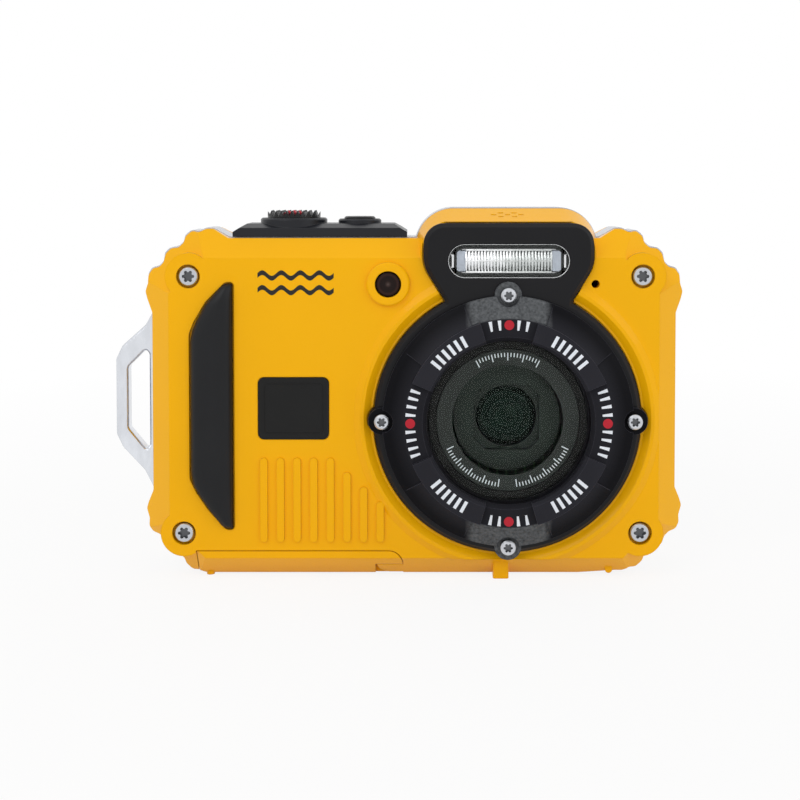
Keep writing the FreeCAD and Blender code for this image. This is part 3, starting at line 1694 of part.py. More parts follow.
def group_glass(middle_z, thick):
    """Glass of a moving lens group, a little thinner than its carriage."""
    half = thick / 2 - glass_inset
    return rod_along_z(lens_x, optical_y(), group_radius, middle_z - half, middle_z + half)


def zoom_group_lens():
    """Glass of the zoom group."""
    return group_glass(lens_z + zoom_height, zoom_thick)


def focus_carriage():
    """Carriage of the focus group."""
    return carriage(lens_z + focus_height, focus_thick)


def focus_group_lens():
    """Glass of the focus group."""
    return group_glass(lens_z + focus_height, focus_thick)


def zoom_motor():
    """Stepping motor with its lead screw and bracket beside the lens housing."""
    x = lens_x + motor_offset
    left = lens_x + housing_half_width + fit_gap
    low = lens_z + zoom_height - motor_drop - motor_length
    far_z = lens_z + zoom_height + zoom_travel
    can = rod_along_z(x, lead_y(), motor_radius, low, low + motor_length)
    screw = rod_along_z(x, lead_y(), lead_radius, low + motor_length, far_z + lead_over)
    half = motor_bracket_half
    bracket = box(
        left, x, lead_y() - half, lead_y() + half, low + motor_bracket_low, low + motor_bracket_high)
    ear_z = far_z + ear_lift
    ear = box(left, x + ear_half, lead_y() - ear_half, lead_y() + ear_half, ear_z, ear_z + ear_thick)
    return joined(can, [screw, bracket, ear])


def image_sensor():
    """Image sensor at the upper end of the folded lens."""
    low = lens_z + sensor_height
    half = sensor_width / 2
    return box(
        lens_x - half, lens_x + half, track_front_y() + sensor_gap, prism_front_y + prism_size,
        low + seat_gap, low + sensor_thick - seat_gap)


def main_board():
    """Main circuit board with its two large chips."""
    back = board_front_y + board_thick
    board = box(board_left_x, board_right_x, board_front_y, back, board_bottom_z, board_top_z)
    half = chip_size / 2
    chips = [box(x - half, x + half, back, back + chip_thick, z - half, z + half) for x, z in chips_at]
    return joined(board, chips)


def display_panel():
    """Display module behind its window."""
    back = back_inner_y - fit_gap
    return box(display_left_x, display_right_x, back - display_thick, back, display_bottom_z, display_top_z)


def display_window_outline(grow):
    """Outline of the display window in the rear cover."""
    margin = display_window_margin + grow
    return rectangle(
        display_left_x - margin, display_right_x + margin, display_bottom_z - margin, display_top_z + margin)


def display_window():
    """Clear window over the display."""
    return prism_y(display_window_outline(0), display_window_round, back_y - display_window_thick, back_y)


def key_flange_y():
    """Back face of the keys' flanges, just inside the rear wall."""
    return back_inner_y - key_back_gap


def key_board_y():
    """Front face of the key board."""
    return key_flange_y() - key_flange_thick - key_travel - switch_gap - key_board_thick


def key_board():
    """Board with the switches under the back keys."""
    front = key_board_y()
    points = cut_rectangle(
        key_board_left_x, key_board_right_x, key_board_bottom_z, key_board_top_z, key_board_cut)
    return prism_y(points, 0, front, front + key_board_thick)


def round_key(x, z, radius):
    """Round key with a flange behind the rear wall."""
    flange_back = key_flange_y()
    top_y = back_y + key_proud
    cap = bevelled(rod_along_y(x, z, radius, flange_back - sink, top_y), "Y", top_y, edge_bevel)
    flange = rod_along_y(x, z, radius + key_flange, flange_back - key_flange_thick, flange_back)
    return joined(cap, [flange])


def nav_pad():
    """Four way pad round the centre button."""
    pad = round_key(pad_x, pad_z, pad_radius)
    return pad.cut(rod_along_y(pad_x, pad_z, pad_hole_radius, 0, through))


def ok_button():
    """Centre button inside the four way pad."""
    front = key_flange_y() - key_flange_thick
    top_y = back_y + key_proud
    return bevelled(rod_along_y(pad_x, pad_z, ok_radius, front, top_y), "Y", top_y, edge_bevel)


def group(pieces):
    """Separate solids kept in one node."""
    return Part.makeCompound(pieces)


def build_nodes():
    """Every sub-part of the camera by its node name."""
    return {
        "front_cover": front_cover(),
        "mid_frame": mid_frame(),
        "rear_cover": rear_cover(),
        "cover_gaskets": cover_gaskets(),
        "grip_pad": grip_pad(),
        "badge_plate": badge_plate(),
        "case_screws": group([case_screw(x, z) for x, z in case_screws_at]),
        "screw_inserts": group([screw_insert(x, z) for x, z in case_screws_at]),
        "lens_bezel": lens_bezel(),
        "lens_trim_ring": lens_trim_ring(),
        "ring_screws": group([ring_screw(x, z) for x, z in ring_screws_at()]),
        "lens_window": lens_window(),
        "window_seal": window_seal(),
        "window_mask": window_mask(),
        "flash_window": flash_window(),
        "flash_reflector": flash_reflector(),
        "flash_tube": flash_tube(),
        "flash_capacitor": flash_capacitor(),
        "af_lamp_window": af_lamp_window(),
        "af_lamp_led": af_lamp_led(),
        "top_plate": top_plate(),
        "shutter_button": shutter_button(),
        "shutter_accent": shutter_accent(),
        "shutter_seal": shutter_seal(),
        "shutter_spring": shutter_spring(),
        "power_button": power_button(),
        "top_switch_board": top_switch_board(),
        "battery_door": battery_door(),
        "door_gasket": door_gasket(),
        "door_hinge_pin": door_hinge_pin(),
        "door_latch": door_latch(),
        "battery": battery(),
        "battery_holder": battery_holder(),
        "memory_card": memory_card(),
        "card_slot": card_slot(),
        "usb_socket": usb_socket(),
        "tripod_insert": tripod_insert(),
        "strap_lug": strap_lug(),
        "lens_housing": lens_housing(),
        "lens_guide_rods": lens_guide_rods(),
        "lens_front_element": lens_front_element(),
        "lens_prism": lens_prism(),
        "zoom_carriage": zoom_carriage(),
        "zoom_group_lens": zoom_group_lens(),
        "focus_carriage": focus_carriage(),
        "focus_group_lens": focus_group_lens(),
        "zoom_motor": zoom_motor(),
        "image_sensor": image_sensor(),
        "main_board": main_board(),
        "display_panel": display_panel(),
        "display_window": display_window(),
        "key_board": key_board(),
        "record_button": round_key(record_at[0], record_at[1], record_radius),
        "tele_button": round_key(tele_at[0], tele_at[1], zoom_key_radius),
        "wide_button": round_key(wide_at[0], wide_at[1], zoom_key_radius),
        "nav_pad": nav_pad(),
        "ok_button": ok_button(),
        "menu_button": round_key(menu_at[0], menu_at[1], small_key_radius),
        "play_button": round_key(play_at[0], play_at[1], small_key_radius),
        "delete_button": round_key(delete_at[0], delete_at[1], small_key_radius)}


def main():
    """Write one file per node, in the frame whose origin is the tripod socket's mouth."""
    os.makedirs("parts", exist_ok=True)
    to_origin = Vector(-tripod_x, -tripod_y, 0)
    for name, shape in build_nodes().items():
        shape.translate(to_origin)
        shape.exportStep("parts/" + name + ".step")
        solids = len(shape.Solids)
        print(name, "solids", solids, "valid", shape.isValid(), "volume", round(shape.Volume, 1))


main()
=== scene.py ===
import math

import bmesh
import bpy
from bpy.props import FloatProperty, FloatVectorProperty, IntProperty, PointerProperty
from bpy.types import Operator, Panel, PropertyGroup
from mathutils import Matrix, Vector


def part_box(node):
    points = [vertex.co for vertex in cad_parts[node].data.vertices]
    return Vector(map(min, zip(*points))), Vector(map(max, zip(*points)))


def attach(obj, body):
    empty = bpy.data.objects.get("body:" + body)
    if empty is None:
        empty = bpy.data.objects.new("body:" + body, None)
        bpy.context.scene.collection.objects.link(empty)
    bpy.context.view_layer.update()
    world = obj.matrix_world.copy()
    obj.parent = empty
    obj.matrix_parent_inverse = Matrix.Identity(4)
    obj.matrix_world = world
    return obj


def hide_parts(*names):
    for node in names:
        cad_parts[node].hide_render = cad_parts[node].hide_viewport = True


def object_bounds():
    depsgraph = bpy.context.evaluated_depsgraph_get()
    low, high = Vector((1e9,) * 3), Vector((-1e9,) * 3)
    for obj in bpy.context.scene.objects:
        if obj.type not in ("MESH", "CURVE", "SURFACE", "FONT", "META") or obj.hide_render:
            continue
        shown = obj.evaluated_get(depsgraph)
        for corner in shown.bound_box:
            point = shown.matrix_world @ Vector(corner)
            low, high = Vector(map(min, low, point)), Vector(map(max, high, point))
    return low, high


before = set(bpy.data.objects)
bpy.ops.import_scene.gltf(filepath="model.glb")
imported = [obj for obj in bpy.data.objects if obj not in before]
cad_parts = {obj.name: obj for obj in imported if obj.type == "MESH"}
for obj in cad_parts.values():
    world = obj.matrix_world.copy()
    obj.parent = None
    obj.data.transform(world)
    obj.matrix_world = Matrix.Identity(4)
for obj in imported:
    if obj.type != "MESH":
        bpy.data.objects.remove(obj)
CAD_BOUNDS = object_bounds()

bl_info = {
    "name": "Waterproof Camera Looks",
    "version": (1, 0, 0),
    "blender": (4, 5, 0),
    "location": "3D View > Sidebar > Camera Looks",
    "description": "Finishes, markings, grip, flash insert and studio for a rugged waterproof camera",
    "category": "Object",
}

MM = 0.001

# Ending of the names of this scene's materials
LOOK = "_look"

# Turns a flat shape that faces local +Z so that it faces the front or the back of the camera
TO_FRONT = Matrix(((1, 0, 0), (0, 0, -1), (0, 1, 0))).to_4x4()
TO_BACK = Matrix(((-1, 0, 0), (0, 0, 1), (0, 1, 0))).to_4x4()

# Takes the depth out of a point, for patterns round an axis along Y
NO_DEPTH = Vector((1.0, 0.0, 1.0))

# How far the badge's face stands out of the front panel
BADGE_PROUD = 0.15 * MM

# Height of thin print, and how far its underside lies in the surface that carries it
PRINT_HIGH = 0.05 * MM
PRINT_SUNK = 0.03 * MM

# How far a small piece overlaps the one that carries it
LAP = 0.02 * MM

# Left side of the grip pad from its bottom to its top, as shares of its height and width
GRIP_LEFT = [
    (0.0, 0.84), (0.01, 0.74), (0.08, 0.416), (0.14, 0.17), (0.18, 0.045), (0.23, 0.0),
    (0.77, 0.0), (0.81, 0.05), (0.85, 0.15), (0.92, 0.37), (0.99, 0.74), (1.0, 0.84)]

# Angles between a red dot of the trim ring and its marks, in degrees, for the dots beside the lens and
# for those above and below it
LEVEL_MARKS = (4.9, 9.7, 14.5, 18.8)
UPRIGHT_MARKS = (5.5, 10.6)

# Angles where the three arcs of the scale behind the lens window start, in degrees
SCALE_STARTS = (62, 206, 278)

# Bars of the signs on the keys: place to the right and up from the key's middle, length and width, all
# in mm, and turn in degrees
KEY_BARS = {
    "tele_button": ((0, 0, 2.2, 0.5, 0), (0, 0, 2.2, 0.5, 90)),
    "wide_button": ((0, 0, 2.2, 0.5, 90),),
    "menu_button": ((0, 0.7, 1.9, 0.34, 90), (0, 0, 1.9, 0.34, 90), (0, -0.7, 1.9, 0.34, 90)),
    "delete_button": (
        (0, 0.75, 1.9, 0.3, 90), (-0.62, -0.25, 1.6, 0.26, 0), (0.62, -0.25, 1.6, 0.26, 0),
        (0, -0.25, 1.3, 0.24, 0), (0, -1.0, 1.4, 0.26, 90), (0, 1.05, 0.7, 0.24, 90)),
}

# Colours of the lens's painted reflections, rings and a highlight in the middle, each with its distance from
# the axis as a share of the radius
LENS_GLINT_RINGS = [
    (0.0, (0.010, 0.018, 0.014)), (0.10, (0.004, 0.008, 0.006)), (0.30, (0.006, 0.012, 0.009)),
    (0.34, (0.013, 0.022, 0.017)), (0.37, (0.004, 0.008, 0.006)), (0.52, (0.006, 0.011, 0.009)),
    (0.55, (0.012, 0.020, 0.016)), (0.58, (0.003, 0.006, 0.005)), (0.76, (0.005, 0.009, 0.007)),
    (0.79, (0.011, 0.018, 0.015)), (0.83, (0.003, 0.005, 0.004)), (1.0, (0.002, 0.003, 0.003))]

# Colours of the lamp window, in the same way, with a painted highlight at its heart
LAMP_RINGS = [
    (0.0, (0.085, 0.060, 0.055)), (0.14, (0.040, 0.022, 0.018)), (0.26, (0.012, 0.005, 0.004)),
    (0.62, (0.010, 0.003, 0.002)), (0.76, (0.036, 0.012, 0.008)), (0.84, (0.014, 0.004, 0.003)),
    (1.0, (0.006, 0.002, 0.002))]

# Painted shade on the ribbed reflector: its colours from its left to its right
SILVER_SHADE_BANDS = [
    (0.0, (0.98, 0.985, 0.99)), (0.35, (0.93, 0.945, 0.94)), (0.6, (0.74, 0.765, 0.75)),
    (1.0, (0.62, 0.645, 0.635))]


def length(name, about, default_mm, low_mm=0.0, high_mm=500.0):
    """Property for a size in the scene, given in millimetres."""
    return FloatProperty(
        name=name, description=about, default=default_mm * MM, min=low_mm * MM, max=high_mm * MM,
        precision=5, unit="LENGTH", subtype="DISTANCE")


def colour(name, about, default):
    """Property for a colour."""
    return FloatVectorProperty(
        name=name, description=about, default=default, size=3, min=0.0, max=1.0, subtype="COLOR")


def share(name, about, default):
    """Property for a value from nought to one."""
    return FloatProperty(name=name, description=about, default=default, min=0.0, max=1.0, subtype="FACTOR")


class FinishColours(PropertyGroup):
    """Colours and gloss of the camera's finishes."""

    yellow: colour("Yellow", "Painted yellow covers", (0.985, 0.485, 0.002))
    yellow_gloss: share("Yellow roughness", "Roughness of the yellow covers", 0.3)
    black: colour("Black", "Black lens surround and trim ring", (0.0065, 0.0065, 0.008))
    black_gloss: share("Black roughness", "Roughness of the lens surround", 0.38)
    rubber: colour("Rubber", "Grip rubber", (0.009, 0.0095, 0.011))
    silver: colour("Silver", "Painted middle frame", (0.55, 0.56, 0.6))
    steel: colour("Steel", "Screws and strap loop", (0.66, 0.68, 0.72))
    red: colour("Red", "Red dots and shutter insert", (0.50, 0.012, 0.028))
    marking: colour("Markings", "White printed markings", (0.82, 0.86, 0.92))
    key: colour("Keys", "Grey keys on the back", (0.13, 0.135, 0.145))


class RingMarks(PropertyGroup):
    """Sizes of the printed marks and the coarse areas on the trim ring."""

    radius: length("Block mark radius", "Distance of the block marks from the lens axis", 18.25)
    side_radius: length("Side mark radius", "Distance of the side marks and dots from the lens axis", 19.15)
    mark_length: length("Mark length", "Length of a block mark", 2.35)
    mark_width: length("Mark width", "Width of a block mark", 0.66)
    side_length: length("Side mark length", "Length of a side mark", 1.95)
    side_outer: length("Side mark outer width", "Width of a side mark at its outer end", 0.68)
    side_inner: length("Side mark inner width", "Width of a side mark at its inner end", 0.40)
    dot_radius: length("Dot radius", "Radius of a red dot", 0.95)
    paint: length("Paint", "Height of the printed marks", 0.03)
    low_step: length("Low step", "Height of the raised blocks above the segments between them", 1.0)
    coarse_side: length("Coarse side", "Half width of the coarse areas above and below the lens", 7.0)
    coarse_radius: length("Coarse radius", "Distance of the coarse areas from the lens axis", 20.2)
    marks_per_block: IntProperty(
        name="Marks per block", description="Number of marks on each block", default=6, min=1, max=12)
    first_angle: FloatProperty(
        name="First angle", description="Angle of the first block mark from the level line",
        default=math.radians(39.2), subtype="ANGLE", unit="ROTATION")
    angle_step: FloatProperty(
        name="Angle step", description="Angle between two block marks",
        default=math.radians(4.4), subtype="ANGLE", unit="ROTATION")


class WindowMarks(PropertyGroup):
    """Sizes of the scale behind the lens window and of the black lining round it."""

    scale_radius: length("Scale radius", "Outer radius of the scale", 13.3)
    long_mark: length("Long mark", "Length of every fifth mark of the scale", 1.5)
    short_mark: length("Short mark", "Length of the other marks of the scale", 0.8)
    mark_width: length("Mark width", "Width of a mark of the scale", 0.2)
    scale_height: length("Scale height", "Height of the printed scale, partly in the mask", 0.065)
    scale_sunk: length("Scale sunk", "Depth of the scale's underside in the mask", 0.05)
    mark_steps: IntProperty(
        name="Mark steps", description="Number of steps between the marks of an arc", default=20, min=1,
        max=60)
    angle_step: FloatProperty(
        name="Angle step", description="Angle between two marks of the scale",
        default=math.radians(2.8), subtype="ANGLE", unit="ROTATION")
    edge_radius: length("Edge radius", "Radius of the black edge behind the mask", 14.02)
    edge_width: length("Edge width", "Width of the black edge behind the mask", 0.6)
    edge_thick: length("Edge thickness", "Thickness of the black edge behind the mask", 0.1)
    seat_depth: length("Seat depth", "Depth of the window's seat behind the front panel", 0.8)
    seat_radius: length("Seat radius", "Radius of the black ring on the window's seat", 13.98)
    seat_width: length("Seat width", "Width of the black ring on the window's seat", 0.48)
    seat_thick: length("Seat thickness", "Thickness of the black ring on the window's seat", 0.12)
    liner_radius: length("Liner radius", "Radius of the black liner in the opening", 13.62)
    liner_wall: length("Liner wall", "Wall of the black liner in the opening", 0.14)
    liner_depth: length("Liner depth", "Depth of the opening behind the seat", 1.0)
    liner_reach: length("Liner reach", "How far the liner stands out behind the opening", 0.03)


class FrontDetails(PropertyGroup):
    """Sizes of the grip, the shutter's teeth and the front markings."""

    grip_side: length("Grip side", "Height of the grip's side wall above its seat", 1.2)
    grip_crown: length("Grip crown", "Height of the crown above the side wall", 1.6)
    grip_round: length("Grip round", "Width over which the crown rises from the grip's edge", 3.3)
    tooth_pitch: length("Tooth pitch", "Distance between the red teeth", 1.1)
    tooth_height: length("Tooth height", "Height of the red teeth", 0.42)
    tooth_foot: share("Tooth foot", "Radius of a tooth's foot as a share of the distance", 0.68)
    tooth_tip: share("Tooth tip", "Radius of a tooth's tip as a share of the distance", 0.06)
    wave_left: length("Wave place", "Distance of the wavy lines' middle to the left of the lens axis", 41.7)
    wave_rise: length("Wave rise", "Height of the upper wavy line above the lens axis", 28.4)
    wave_drop: length("Wave drop", "Distance between the two wavy lines", 2.9)
    wave_run: length("Wave run", "Width of the wavy lines from end to end", 15.0)
    wave_length: length("Wave length", "Length of one wave of the water mark", 3.75)
    wave_height: length("Wave height", "Half the height of the waves", 0.55)
    wave_line: length("Wave line", "Thickness of a wave line", 0.95)
    badge_inset: length("Badge inset", "Distance of the badge's fine line from its edge", 1.1)
    badge_corner: length("Badge corner", "Bevel of the fine line's corners", 0.8)
    badge_line: length("Badge line", "Width of the badge's fine line", 0.22)
    badge_raised: length("Badge line height", "Height of the badge's fine line, partly in it", 0.11)
    badge_sunk: length("Badge line sunk", "Depth of the fine line's underside in the badge", 0.05)


class FlashDetails(PropertyGroup):
    """Sizes of the insert in and behind the flash window."""

    rib_pitch: length("Rib pitch", "Distance between the flash ribs", 0.62)
    rib_radius: length("Rib radius", "Radius of a flash rib", 0.31)
    half_width: length("Ribbed half width", "Half the width of the ribbed area", 8.4)
    half_height: length("Ribbed half height", "Half the height of the ribbed area", 2.25)
    rib_depth: length("Rib depth", "Depth of the ribs' middle behind the reflector's face", 0.12)
    outer_strip: length("Outer strip", "Width of the strips across the ribs' ends", 0.3)
    middle_strip: length("Middle strip", "Width of the strip across the ribs' middle", 0.24)
    strip_inset: length("Strip inset", "Distance of the outer strips from the ribs' ends", 0.1)
    strip_thick: length("Strip thickness", "Thickness of the strips", 0.24)
    strip_edge: length("Strip edge", "Bevel of the strips", 0.04)
    plate_place: length("Plate place", "Distance of the end plates from the middle", 9.4)
    plate_height: length("Plate height", "Height of the end plates", 4.1)
    plate_width: length("Plate width", "Width of the end plates", 1.7)
    plate_thick: length("Plate thickness", "Thickness of the end plates", 0.2)
    plate_edge: length("Plate edge", "Bevel of the end plates", 0.06)
    # The clips are bright plates that stand in as painted glints on the window's rounded ends
    glint_place: length("Clip place", "Distance of the clips from the middle", 11.0)
    glint_height: length("Clip height", "Height of the clips", 2.6)
    glint_width: length("Clip width", "Width of the clips", 0.45)
    glint_thick: length("Clip thickness", "Thickness of the clips", 0.1)
    glint_edge: length("Clip edge", "Bevel of the clips", 0.05)
    glint_depth: length("Clip depth", "Distance of the clips from the window's back, inside it", 0.12)
    mask_border: length("Mask border", "Width of the black border along the window's edge", 0.92)
    bar_place: length("Bar place", "Distance of the black bars from the middle", 10.55)
    bar_height: length("Bar height", "Height of the black bars", 5.0)
    bar_width: length("Bar width", "Width of the black bars", 0.6)
    mask_thick: length("Mask thickness", "Thickness of the black border and bars", 0.04)
    mask_depth: length("Mask depth", "Distance of the border from the window's back, inside it", 0.05)
    # The rim is a bright band that stands in as a painted highlight along the window's edge
    rim_inset: length("Rim inset", "Distance of the bright rim from the window's edge", 0.08)
    rim_width: length("Rim width", "Width of the bright rim", 0.16)
    rim_thick: length("Rim thickness", "Thickness of the bright rim", 0.08)
    rim_depth: length("Rim depth", "Distance of the rim from the window's back, inside it", 0.1)


class BackDetails(PropertyGroup):
    """Sizes of the display's border and of the signs on the keys."""

    border_gap: length("Border gap", "Distance of the display's border from the window's edge", 0.15)
    border_corner: length("Border corner", "Bevel of the border's corners", 1.4)
    border_width: length("Border width", "Width of the display's border", 4.5)
    play_size: length("Play sign", "Radius of the play sign's triangle", 1.1)
    play_right: length("Play sign place", "Distance of the play sign to the right of the key's middle", 0.1)
    record_size: length("Record dot", "Radius of the dot on the record key", 0.8)
    arrow_place: length("Arrow place", "Distance of the arrows from the middle of the pad", 6.7)
    arrow_size: length("Arrow size", "Radius of an arrow's triangle", 0.85)
    hoop_radius: length("Centre sign", "Radius of the ring on the centre key", 1.3)
    hoop_width: length("Centre line", "Width of the ring on the centre key", 0.28)


class StudioSettings(PropertyGroup):
    """Lamps, floor and camera."""

    key_power: FloatProperty(
        name="Main lamp", description="Power of the main lamp", default=1.75, min=0.0, unit="POWER")
    fill_power: FloatProperty(
        name="Fill lamp", description="Power of the fill lamp", default=0.85, min=0.0, unit="POWER")
    top_power: FloatProperty(
        name="Top lamp", description="Power of the top lamp", default=0.15, min=0.0, unit="POWER")
    sky: share("Surrounding light", "Level of the light from all round", 0.72)
    floor_radius: length("Floor radius", "Radius of the floor", 2500.0, 100.0, 10000.0)
    floor_gap: length("Floor gap", "Distance of the floor below the object", 0.01)
    fade_near: length("Fade start", "Distance where the floor begins to fade into white", 100.0)
    fade_far: length("Fade end", "Distance where the floor is wholly white", 300.0)
    fade_least: share("Least fade", "Share of plain white in the floor near the object", 0.88)
    lens: FloatProperty(
        name="Focal length", description="Focal length of the view", default=56.5, min=10.0, unit="CAMERA")
    eye: FloatVectorProperty(
        name="Eye", description="Place of the camera", default=(-0.0184, -0.25755, 0.078), size=3,
        unit="LENGTH", subtype="TRANSLATION")
    pitch: FloatProperty(
        name="Pitch", description="Downward tilt of the view", default=math.radians(2.0),
        subtype="ANGLE", unit="ROTATION")
    shift: FloatVectorProperty(
        name="Shift", description="Lens shift in frame widths", default=(-0.0175, -0.214), size=2)


class CameraLooks(PropertyGroup):
    """All settings of the camera's looks."""

    finish: PointerProperty(type=FinishColours)
    ring: PointerProperty(type=RingMarks)
    window: PointerProperty(type=WindowMarks)
    front: PointerProperty(type=FrontDetails)
    flash: PointerProperty(type=FlashDetails)
    back: PointerProperty(type=BackDetails)
    studio: PointerProperty(type=StudioSettings)


def looks():
    """Settings of the scene."""
    return bpy.context.scene.camera_looks


# Materials


def shaded(rgb, factor):
    """Colour made lighter or darker."""
    return tuple(min(1.0, c * factor) for c in rgb)


def fresh_shader(name):
    """New material with its nodes, links and shader."""
    material = bpy.data.materials.new(name + LOOK)
    material.use_nodes = True
    tree = material.node_tree
    return material, tree.nodes, tree.links, tree.nodes["Principled BSDF"]


def made(name):
    """Material that an earlier step has made."""
    return bpy.data.materials[name + LOOK]


def own_point(nodes, links, centre=None):
    """Point on the object, measured from a centre."""
    point = nodes.new("ShaderNodeTexCoord").outputs["Object"]
    if centre is None:
        return point
    mapping = nodes.new("ShaderNodeMapping")
    mapping.inputs["Location"].default_value = -Vector(centre)
    links.new(point, mapping.inputs["Vector"])
    return mapping.outputs["Vector"]


def stretched(nodes, links, point, scale):
    """Point with its axes scaled."""
    mapping = nodes.new("ShaderNodeMapping")
    mapping.inputs["Scale"].default_value = scale
    links.new(point, mapping.inputs["Vector"])
    return mapping.outputs["Vector"]


def noise(nodes, links, point, size, detail=2.0):
    """Noise with blotches of about the given size."""
    texture = nodes.new("ShaderNodeTexNoise")
    texture.inputs["Scale"].default_value = 1.0 / size
    texture.inputs["Detail"].default_value = detail
    links.new(point, texture.inputs["Vector"])
    return texture.outputs[0]


def along_axes(nodes, links, point):
    """Outputs for the X, Y and Z of a point."""
    parts = nodes.new("ShaderNodeSeparateXYZ")
    links.new(point, parts.inputs[0])
    return parts.outputs


def between(nodes, links, value, low, high, from_low=0.3, from_high=0.7):
    """Value stretched to a new range."""
    node = nodes.new("ShaderNodeMapRange")
    node.inputs["From Min"].default_value = from_low
    node.inputs["From Max"].default_value = from_high
    node.inputs["To Min"].default_value = low
    node.inputs["To Max"].default_value = high
    links.new(value, node.inputs["Value"])
    return node.outputs["Result"]


def blended(nodes, links, factor, first, second):
    """Colour between two colours or colour outputs."""
    mix = nodes.new("ShaderNodeMix")
    mix.data_type = "RGBA"
    links.new(factor, mix.inputs[0])
    for socket, value in ((mix.inputs[6], first), (mix.inputs[7], second)):
        if isinstance(value, bpy.types.NodeSocket):
            links.new(value, socket)
        else:
            socket.default_value = (*value, 1.0)
    return mix.outputs[2]


def computed(nodes, links, operation, first, second=None):
    """Result of a sum on values or outputs."""
    node = nodes.new("ShaderNodeMath")
    node.operation = operation
    for socket, value in ((node.inputs[0], first), (node.inputs[1], second)):
        if isinstance(value, bpy.types.NodeSocket):
            links.new(value, socket)
        elif value is not None:
            socket.default_value = value
    return node.outputs[0]


def relief(nodes, links, shader, height, depth, edge):
    """Surface relief over softened edges."""
    bump = nodes.new("ShaderNodeBump")
    bump.inputs["Distance"].default_value = depth
    links.new(height, bump.inputs["Height"])
    if edge > 0:
        soft = nodes.new("ShaderNodeBevel")
        soft.samples = 4
        soft.inputs["Radius"].default_value = edge
        links.new(soft.outputs["Normal"], bump.inputs["Normal"])
    links.new(bump.outputs["Normal"], shader.inputs["Normal"])


def moulded(
        name, rgb, roughness, grain=0.3, depth=0.008, spread=0.05, blotch=14.0, edge=0.2, metallic=0.0,
        specular=0.2):
    """Moulded or painted surface with a fine grain, slow changes of tone and softened edges, sizes in mm."""
    material, nodes, links, shader = fresh_shader(name)
    point = own_point(nodes, links)
    slow = between(nodes, links, noise(nodes, links, point, blotch * MM), 0.0, 1.0)
    fine = noise(nodes, links, point, grain * MM, 3.0)
    speck = between(nodes, links, fine, -0.2, 0.2)
    mixed = computed(nodes, links, "ADD", slow, speck)
    tint = blended(nodes, links, mixed, shaded(rgb, 1 - spread), shaded(rgb, 1 + spread))
    links.new(tint, shader.inputs["Base Color"])
    rough = between(nodes, links, fine, roughness * 0.88, roughness * 1.12)
    links.new(rough, shader.inputs["Roughness"])
    relief(nodes, links, shader, fine, depth * MM, edge * MM)
    shader.inputs["Metallic"].default_value = metallic
    shader.inputs["Specular IOR Level"].default_value = specular
    return material


def printed(name, rgb, roughness, spread):
    """Thin printed paint."""
    return moulded(
        name, rgb, roughness, grain=0.12, depth=0.004, spread=spread, blotch=3.0, edge=0.0, specular=0.3)


def brushed(name, rgb, roughness, along, line=0.12, depth=0.003, edge=0.15):
    """Metal with fine lines, drawn out by the scale along each axis, and a soft edge, sizes in mm."""
    material, nodes, links, shader = fresh_shader(name)
    point = own_point(nodes, links)
    lines = noise(nodes, links, stretched(nodes, links, point, along), line * 6 * MM, 4.0)
    cloud = noise(nodes, links, point, 6 * MM)
    mixed = computed(nodes, links, "MULTIPLY", lines, cloud)
    streak = between(nodes, links, mixed, 0.0, 1.0, 0.1, 0.4)
    tint = blended(nodes, links, streak, shaded(rgb, 0.9), shaded(rgb, 1.05))
    links.new(tint, shader.inputs["Base Color"])
    links.new(between(nodes, links, lines, roughness * 0.7, roughness * 1.3), shader.inputs["Roughness"])
    relief(nodes, links, shader, lines, depth * MM, edge * MM)
    shader.inputs["Metallic"].default_value = 1.0
    return material


def screw_steel(name, rgb, roughness, face):
    """Bright steel of a screw's head, with painted shade in the recess for the driver and on the head's
    side.
    """
    material, nodes, links, shader = fresh_shader(name)
    point = own_point(nodes, links)
    across = along_axes(nodes, links, point)
    cloud = noise(nodes, links, point, 1.4 * MM)
    steel = blended(nodes, links, cloud, shaded(rgb, 0.95), shaded(rgb, 1.03))
    # Painted shade: all that lies deeper than just behind the head's face, the recess and the head's side,
    # is darkened
    depth = between(nodes, links, across["Y"], 0.0, 1.0, face + 0.2 * MM, face + 0.5 * MM)
    links.new(blended(nodes, links, depth, steel, shaded(rgb, 0.2)), shader.inputs["Base Color"])
    links.new(between(nodes, links, cloud, roughness * 0.9, roughness * 1.1), shader.inputs["Roughness"])
    relief(nodes, links, shader, cloud, 0.002 * MM, 0.12 * MM)
    shader.inputs["Metallic"].default_value = 1.0
    return material


def glass(name, rgb, ior):
    """Clear polished glass or plastic with a faint change of tint."""
    material, nodes, links, shader = fresh_shader(name)
    point = own_point(nodes, links)
    cloud = noise(nodes, links, point, 9 * MM)
    tint = blended(nodes, links, cloud, shaded(rgb, 0.97), rgb)
    links.new(tint, shader.inputs["Base Color"])
    shader.inputs["Roughness"].default_value = 0.0
    shader.inputs["Transmission Weight"].default_value = 1.0
    shader.inputs["IOR"].default_value = ior
    return material


def axis_distance(nodes, links, point, scale=1.0):
    """Distance of a point from the axis along Y through the point's origin."""
    across = along_axes(nodes, links, point)
    x2 = computed(nodes, links, "MULTIPLY", across["X"], across["X"])
    z2 = computed(nodes, links, "MULTIPLY", across["Z"], across["Z"])
    total = computed(nodes, links, "ADD", x2, z2)
    root = computed(nodes, links, "SQRT", total)
    return computed(nodes, links, "MULTIPLY", root, scale)


def banded(nodes, links, value, stops):
    """Colours placed along a value from nought to one."""
    ramp = nodes.new("ShaderNodeValToRGB")
    bands = ramp.color_ramp.elements
    bands[0].position, bands[0].color = stops[0][0], (*stops[0][1], 1.0)
    bands[1].position, bands[1].color = stops[-1][0], (*stops[-1][1], 1.0)
    for position, rgb in stops[1:-1]:
        band = bands.new(position)
        band.color = (*rgb, 1.0)
    links.new(value, ramp.inputs[0])
    return ramp.outputs[0]


